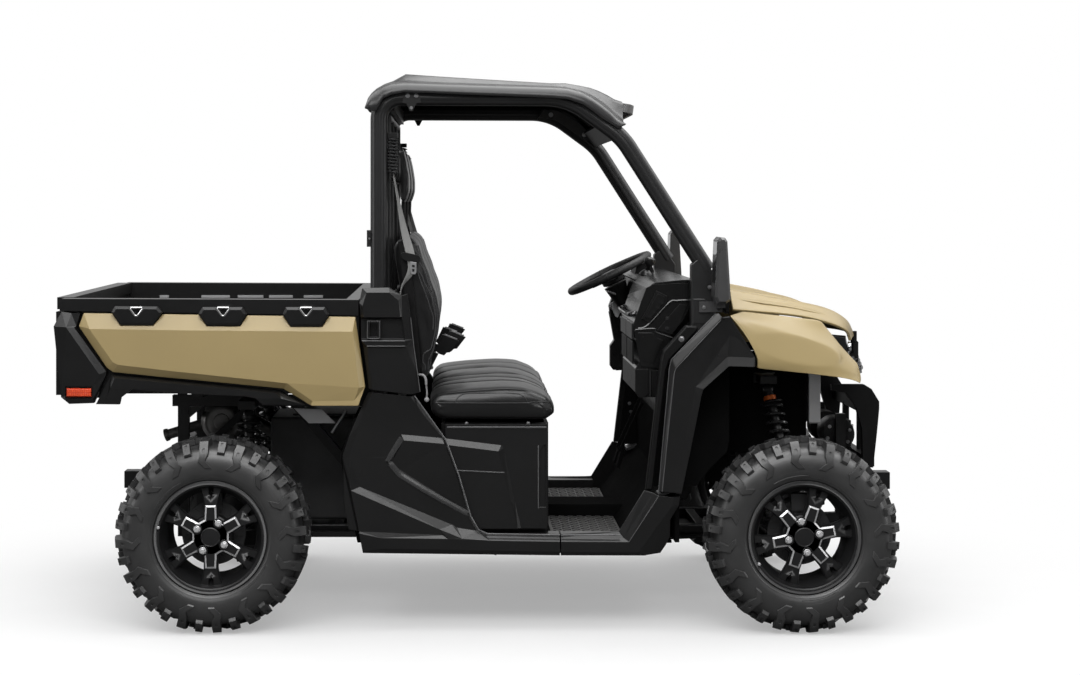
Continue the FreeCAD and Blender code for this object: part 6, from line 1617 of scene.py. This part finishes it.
def tyre_mesh(hx, yc, h, phase, arcs):
    def T(u, w, o):
        return (hx + u, -(yc + o), 335.0 + w)
    m = Mesh()
    outer = [(26.4, 178.4), (22.4, 188), (21.2, 196.5), (17.6, 198.2), (16.2, 200.0), (15.8, 202.0), (13.4, 205.6), (11.6, 207.6), (11.2, 209.6), (8.8, 214),
             (6.6, 222), (5.4, 232), (5.2, 244), (6.6, 258), (9.6, 270), (14.5, 283), (22.5, 293), (35, 302), (50, 308.5), (68, 312), (90, 313.5)]
    inn = [(44, 178.4), (38, 192), (22, 213), (14, 240), (18, 272), (32, 297), (64, 308)]
    prof = [(h - d, r) for d, r in outer] + [(d - h, r) for d, r in reversed(outer)] + [(d - h, r) for d, r in inn] + [(h - d, r) for d, r in reversed(inn)]
    m.add(*lathe(prof, (hx, -yc, 335), (0, -1, 0), 96, closed=True))

    def at(theta, c, r, d, sg):
        t = theta + c / r
        return Vector(T(r * math.cos(t), r * math.sin(t), sg * (h - d)))

    def lug(theta, sta, sg, slot_i=None, draft=2.4):
        rows = []
        for d, r, db, rb, c, hw in sta:
            rows.append((at(theta, c - hw - draft, rb, db, sg), at(theta, c - hw, r, d, sg), at(theta, c + hw, r, d, sg), at(theta, c + hw + draft, rb, db, sg)))
        vs = [p for row in rows for p in row]
        fs = []
        for i in range(len(rows) - 1):
            a, b = i * 4, i * 4 + 4
            fs += [(a, a + 1, b + 1, b), (a + 2, a + 3, b + 3, b + 2)]
            if slot_i is not None and i in slot_i:
                q = [Vector(vs[k]) for k in (a + 1, a + 2, b + 2, b + 1)]
                nrm = (q[1] - q[0]).cross(q[3] - q[0]).normalized()
                out = at(theta, 0, 400, -60, sg) - q[0]
                if nrm.dot(out) < 0:
                    nrm = -nrm

                def bil(s, t):
                    return (q[0] * (1 - s) + q[1] * s) * (1 - t) + (q[3] * (1 - s) + q[2] * s) * t
                lo, hi = (0.34, 0.66) if i != 0 else (0.36, 0.64)
                ring = [bil(s, t) for s, t in ((lo, 0.30), (0.5, 0.16), (hi, 0.30), (hi, 0.72), (0.5, 0.86), (lo, 0.72))]
                deep = [p - nrm * 3.2 for p in ring]
                o = len(vs)
                vs += ring + deep
                r_ = [o + k for k in range(6)]
                d_ = [o + 6 + k for k in range(6)]
                fs += [(a + 1, a + 2, r_[2], r_[1], r_[0]), (a + 2, b + 2, r_[3], r_[2]), (b + 2, b + 1, r_[5], r_[4], r_[3]), (b + 1, a + 1, r_[0], r_[5])]
                fs += [(r_[k], r_[(k + 1) % 6], d_[(k + 1) % 6], d_[k]) for k in range(6)] + [tuple(d_)]
            else:
                fs.append((a + 1, a + 2, b + 2, b + 1))
        e = (len(rows) - 1) * 4
        fs += [(0, 3, 2, 1), (e, e + 1, e + 2, e + 3), tuple([0] + [4 * k for k in range(1, len(rows))] + [4 * k + 3 for k in range(len(rows) - 1, 0, -1)] + [3])]
        m.add(vs, fs)

    ti = 84 if h > 130 else 72
    for k in range(16):
        for sg in (1, -1):
            th = math.radians(phase + 22.5 * k + (0 if sg > 0 else 11.25))
            s = 1 if k % 2 else -1
            lug(th, [(ti, 334.3, ti, 308, 9 * s, 12.5), (62, 334.6, 62, 306, 4 * s, 14.5), (35, 330.0, 42, 296, 0, 15), (15.5, 311.5, 28, 284, 0, 15), (6.4, 290, 20, 278, -1 * s, 14),
                     (2.4, 276, 14, 272, -6 * s, 12.2), (0.9, 265, 11, 263, -10 * s, 11.6), (0.8, 252, 8.5, 252, 1.5 * s, 11.4), (1.4, 241, 8.5, 240, 11 * s, 11), (4.4, 237, 8.5, 236, 13 * s, 10.6)],
                sg, slot_i=(3,))
            th2 = th + math.radians(11.25)
            lug(th2, [(60, 334.2, 60, 308, -3 * s, 11), (35, 329.6, 42, 298, 0, 12.4), (16, 311, 28, 284, 0, 12.4), (8.5, 296, 22, 281, 0, 11.8), (11, 290, 20, 280, 0, 11.4)], sg, slot_i=(1,))
    # blocks in the middle of the tread

    def block(theta, poly):
        n = len(poly)
        cx, cy = sum(p[0] for p in poly) / n, sum(p[1] for p in poly) / n
        top, bot = [], []
        for c, o in poly:
            t = theta + c / 334.6
            top.append(T(334.6 * math.cos(t), 334.6 * math.sin(t), o))
            c2, o2 = cx + (c - cx) * 1.1, cy + (o - cy) * 1.08
            t = theta + c2 / 334.6
            bot.append(T(316 * math.cos(t), 316 * math.sin(t), o2))
        m.add(top + bot, [tuple(range(n)), tuple(range(2 * n - 1, n - 1, -1))] + [(i, n + i, n + (i + 1) % n, (i + 1) % n) for i in range(n)])
    w = h - ti
    for k in range(16):
        for sg in (1, -1):
            th = math.radians(phase + 22.5 * k + (5.6 if sg > 0 else 16.9))
            block(th, [(-34, sg * 3), (-6, sg * 1), (16, sg * (w * 0.52)), (-8, sg * (w * 0.62))])
            block(th, [(8, sg * (w * 0.42)), (30, sg * (w * 0.40)), (34, sg * (w - 7)), (8, sg * (w - 5))])
    # plain moulded outlines and a fine rib ring on the side wall
    for a0, a1 in arcs:
        pts = []
        for i in range(15):
            pts.append((math.radians(a0 + (a1 - a0) * i / 14), 229.0))
        for i in range(15):
            pts.append((math.radians(a1 - (a1 - a0) * i / 14), 214.0))
        path = []
        for t, r in pts:
            d = 6.6 if r > 220 else 8.8
            path.append(T(r * math.cos(t), r * math.sin(t), h - d))
        m.add(*sweep(path, [(1.3, -1.2), (0.7, 1.0), (-0.7, 1.0), (-1.3, -1.2)], closed_path=True, up=Vector((0, -1, 0))))
    return m


def rim_meshes(hx, yc, h, rot):
    def T(r, t, o):
        return (hx + r * math.cos(t), -(yc + o), 335.0 + r * math.sin(t))
    c0, ax = (hx, -yc, 335), (0, -1, 0)
    body, bright, dark = Mesh(), Mesh(), Mesh()
    prof = [(h - 14, 192.6), (h - 15, 194.6), (h - 19.6, 195), (h - 21, 192), (h - 24, 179.5), (h - 27, 177.8), (h - 48, 177.8), (h - 66, 160), (66 - h, 160), (48 - h, 177.8), (26 - h, 177.8),
            (21.4 - h, 192), (20 - h, 195), (15 - h, 194.6), (14 - h, 192), (14 - h, 186), (22 - h, 170), (48 - h, 170), (66 - h, 152), (h - 74, 152), (h - 62, 156), (h - 50, 166), (h - 38, 169.5),
            (h - 33, 173.5), (h - 22, 176), (h - 20, 180.5), (h - 16.4, 182.5), (h - 14.2, 186)]
    body.add(*lathe(prof, c0, ax, 96, closed=True))
    # hub
    body.add(*lathe([(h - 29, 0.01), (h - 29, 58), (h - 33, 62.5), (h - 52, 65), (h - 56, 71), (h - 88, 74), (h - 88, 0.01)], c0, ax, 60))
    # rear ring that ties the spokes
    for k in range(6):
        th = math.radians(rot + 60 * k)

        def L(r, b, o):
            return (hx + r * math.cos(th) - b * math.sin(th), -(yc + o), 335 + r * math.sin(th) + b * math.cos(th))
        sta = [(40, 24.5, 0), (60, 25.5, 0), (88, 25.0, 0), (112, 25.5, 0), (137, 30.5, 0), (147, 33.2, 7.2), (158, 37.0, 7.6), (171, 42.5, 8.0)]
        for sd in (1, -1):
            rows = []
            for r, bo, bi in sta:
                of = h - 31 - max(0.0, (r - 60)) * 0.13
                ob = h - 66
                rows.append([L(r, sd * (bo - 1.5), ob), L(r, sd * bo, of - 8.5), L(r, sd * (bo - 5.0), of), L(r, sd * max(bi + (1.6 if bi else 0), 0), of), L(r, sd * bi, of - (4 if bi else 0)), L(r, sd * bi, ob)])
            vs = [p for rw in rows for p in rw]
            fs = []
            for i in range(len(rows) - 1):
                a, b = 6 * i, 6 * i + 6
                q = [(a, a + 1, b + 1, b), (a + 1, a + 2, b + 2, b + 1), (a + 2, a + 3, b + 3, b + 2), (a, b, b + 5, a + 5)]
                if sta[i][2] or sta[i + 1][2]:
                    q += [(a + 3, a + 4, b + 4, b + 3), (a + 4, a + 5, b + 5, b + 4)]
                fs += q if sd > 0 else [tuple(reversed(f)) for f in q]
            body.add(vs, fs)
    # bright star line and the raised face inside it
    pts = []
    for k in range(6):
        t = rot + 60 * k
        for r, da in ((63.5, -19), (110, -9.6), (110, 9.6), (63.5, 19)):
            a = math.radians(t + da)
            pts.append((r * math.cos(a), r * math.sin(a)))
    ins = inset2d(pts, 5.6)
    n = len(pts)

    def Q(p, o):
        return (hx + p[0], -(yc + o), 335 + p[1])
    vs = [Q(p, h - 31.5) for p in pts] + [Q(p, h - 27.6) for p in ins]
    bright.add(vs, [(i, (i + 1) % n, n + (i + 1) % n, n + i) for i in range(n)])
    vs = [Q(p, h - 31.5) for p in pts] + [Q(p, h - 42) for p in pts]
    body.add(vs, [(i, n + i, n + (i + 1) % n, (i + 1) % n) for i in range(n)])
    ins2 = inset2d(pts, 7.0)
    vs = [Q(p, h - 27.6) for p in ins] + [Q(p, h - 29.0) for p in ins2] + [Q((0, 0), h - 29.0)]
    body.add(vs, [(i, (i + 1) % n, n + (i + 1) % n, n + i) for i in range(n)] + [(n + i, n + (i + 1) % n, 2 * n) for i in range(n)])
    # nuts in round pockets
    for k in range(4):
        a = math.radians(rot - 30 + 90 * k)
        p = T(54, a, 0)
        c = (p[0], -yc, p[2])
        body.add(*lathe([(h - 30, 18.4), (h - 26.6, 18.2), (h - 26.0, 17.2), (h - 28.6, 15.6), (h - 28.6, 6)], c, ax, 28))
        bright.add(*lathe([(h - 30, 13.0), (h - 27.4, 12.6), (h - 26.2, 11.2), (h - 26.0, 8)], c, ax, 20))
        d, a1, b1 = frame_of(ax)
        hv = []
        for o, rr in ((h - 27, 10.2), (h - 17.5, 10.2), (h - 14.6, 8.4), (h - 14.2, 4.0)):
            for j in range(6):
                t = math.pi / 3 * j + 0.3
                hv.append(Vector(c) + d * o + (a1 * math.cos(t) + b1 * math.sin(t)) * rr)
        bright.add(hv, [(j * 6 + i, j * 6 + (i + 1) % 6, (j + 1) * 6 + (i + 1) % 6, (j + 1) * 6 + i) for j in range(3) for i in range(6)] + [tuple(range(18, 24))])
    # centre cap
    dark.add(*lathe([(h - 31, 34.5), (h - 24.6, 34.2), (h - 22.4, 32.6), (h - 21.6, 30.4), (h - 22.8, 29.2), (h - 22.4, 26.5), (h - 21.2, 16), (h - 20.8, 0.01)], c0, ax, 44))
    # valve
    p = T(181, math.radians(rot + 79), 0)
    bright.add(*lathe([(h - 34, 4.2), (h - 22, 4.2), (h - 21.5, 5.6), (h - 12, 5.4), (h - 10.6, 4.2), (h - 10.4, 0.01)], (p[0], -yc, p[2]), ax, 14))
    disc = Mesh()
    disc.add(*lathe([(h - 88.4, 0.01), (h - 88.4, 52), (h - 92, 60), (h - 126, 60), (h - 127, 64), (h - 127, 110.5), (h - 128.2, 112), (h - 131.8, 112), (h - 133, 110.5), (h - 133, 51), (h - 100, 50), (h - 92.4, 44), (h - 92.4, 0.01)], c0, ax, 64))
    for k in range(24):
        a = math.radians(15 * k)
        r0, r1 = 74, 104
        pa, pb = T(r0, a, h - 126.9), T(r1, a + 0.16, h - 126.9)
        disc.add(*cylm(Vector(pa), Vector(pb), 1.5, n=6))
    return body, bright, dark, disc


for tag, hx, yc, h, rot, ph, arcs in (("rear_right", 0.0, 667.0, 140.0, 90, 94.0, ((118, 152), (300, 334))), ("front_right", 2040.0, 692.0, 115.0, 131, 96.0, ((87, 120), (268, 302)))):
    t = tyre_mesh(hx, yc, h, ph, arcs)
    rb = rim_meshes(hx, yc, h, rot)
    for side in ("right", "left"):
        nm = tag.replace("right", side)
        bd = "wheel_" + nm
        tt = t if side == "right" else t.mirrored()
        o = obj("tyre_detail_" + nm, tt, ["tyre"], bd, bevel=1.5, seg=2, angle=38)
        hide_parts("tyre_" + nm)
        parts = []
        for part, mt, lab, sl in zip(rb, ("rim", "machined", "rim", "cast"), ("rim_body_", "rim_bright_", "rim_cap_", "brake_disc_"), ("rim_paint", "alloy_grey", "rim_paint", "rim_paint")):
            pm = part if side == "right" else part.mirrored()
            o = obj(lab + nm, pm, [mt], bd, bevel=0.9 if lab in ("rim_body_", "rim_bright_") else 0.0, seg=2, angle=36)
            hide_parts("rim_" + nm)


# ---------------------------------------------------------------- floor
fl = Mesh()
fl.add([(-40000, -40000, -0.6), (42000, -40000, -0.6), (42000, 40000, -0.6), (-40000, 40000, -0.6)], [(0, 1, 2, 3)])
fm = surf("floor_white", (0.9, 0.9, 0.9), 0.7, var=0.01, grain=0.05, grain_scale=200)
ft = fm.node_tree
f_tc = ft.nodes.new("ShaderNodeTexCoord")
f_len = ft.nodes.new("ShaderNodeVectorMath")
f_len.operation = "LENGTH"
f_map = ft.nodes.new("ShaderNodeMapping")
f_map.inputs["Scale"].default_value = (0.8, 1.0, 1.0)
f_mr = ft.nodes.new("ShaderNodeMapRange")
f_mr.interpolation_type = "SMOOTHSTEP"
f_mr.inputs["From Min"].default_value = 1.15
f_mr.inputs["From Max"].default_value = 2.3
f_em = ft.nodes.new("ShaderNodeEmission")
f_em.inputs["Color"].default_value = (1, 1, 1, 1)
f_em.inputs["Strength"].default_value = 1.0
f_mix = ft.nodes.new("ShaderNodeMixShader")
ft.links.new(f_tc.outputs["Object"], f_map.inputs["Vector"])
ft.links.new(f_map.outputs[0], f_len.inputs[0])
ft.links.new(f_len.outputs["Value"], f_mr.inputs["Value"])
f_lo = ft.nodes.new("ShaderNodeMapRange")
f_lo.inputs["To Min"].default_value = 0.36
ft.links.new(f_mr.outputs[0], f_lo.inputs["Value"])
ft.links.new(f_lo.outputs[0], f_mix.inputs[0])
ft.links.new(ft.nodes["Principled BSDF"].outputs[0], f_mix.inputs[1])
ft.links.new(f_em.outputs[0], f_mix.inputs[2])
f_lp = ft.nodes.new("ShaderNodeLightPath")
f_dk = ft.nodes.new("ShaderNodeBsdfDiffuse")
f_dk.inputs["Color"].default_value = (0.14, 0.14, 0.14, 1)
f_sw = ft.nodes.new("ShaderNodeMixShader")
ft.links.new(f_lp.outputs["Is Camera Ray"], f_sw.inputs[0])
ft.links.new(f_dk.outputs[0], f_sw.inputs[1])
ft.links.new(f_mix.outputs[0], f_sw.inputs[2])
ft.links.new(f_sw.outputs[0], ft.nodes["Material Output"].inputs["Surface"])
me = bpy.data.meshes.new("floor")
me.from_pydata([((x - X0) * S, y * S, z * S) for x, y, z in fl.v], [], fl.f)
me.materials.append(fm)
floor = bpy.data.objects.new("floor", me)
SCENE.collection.objects.link(floor)
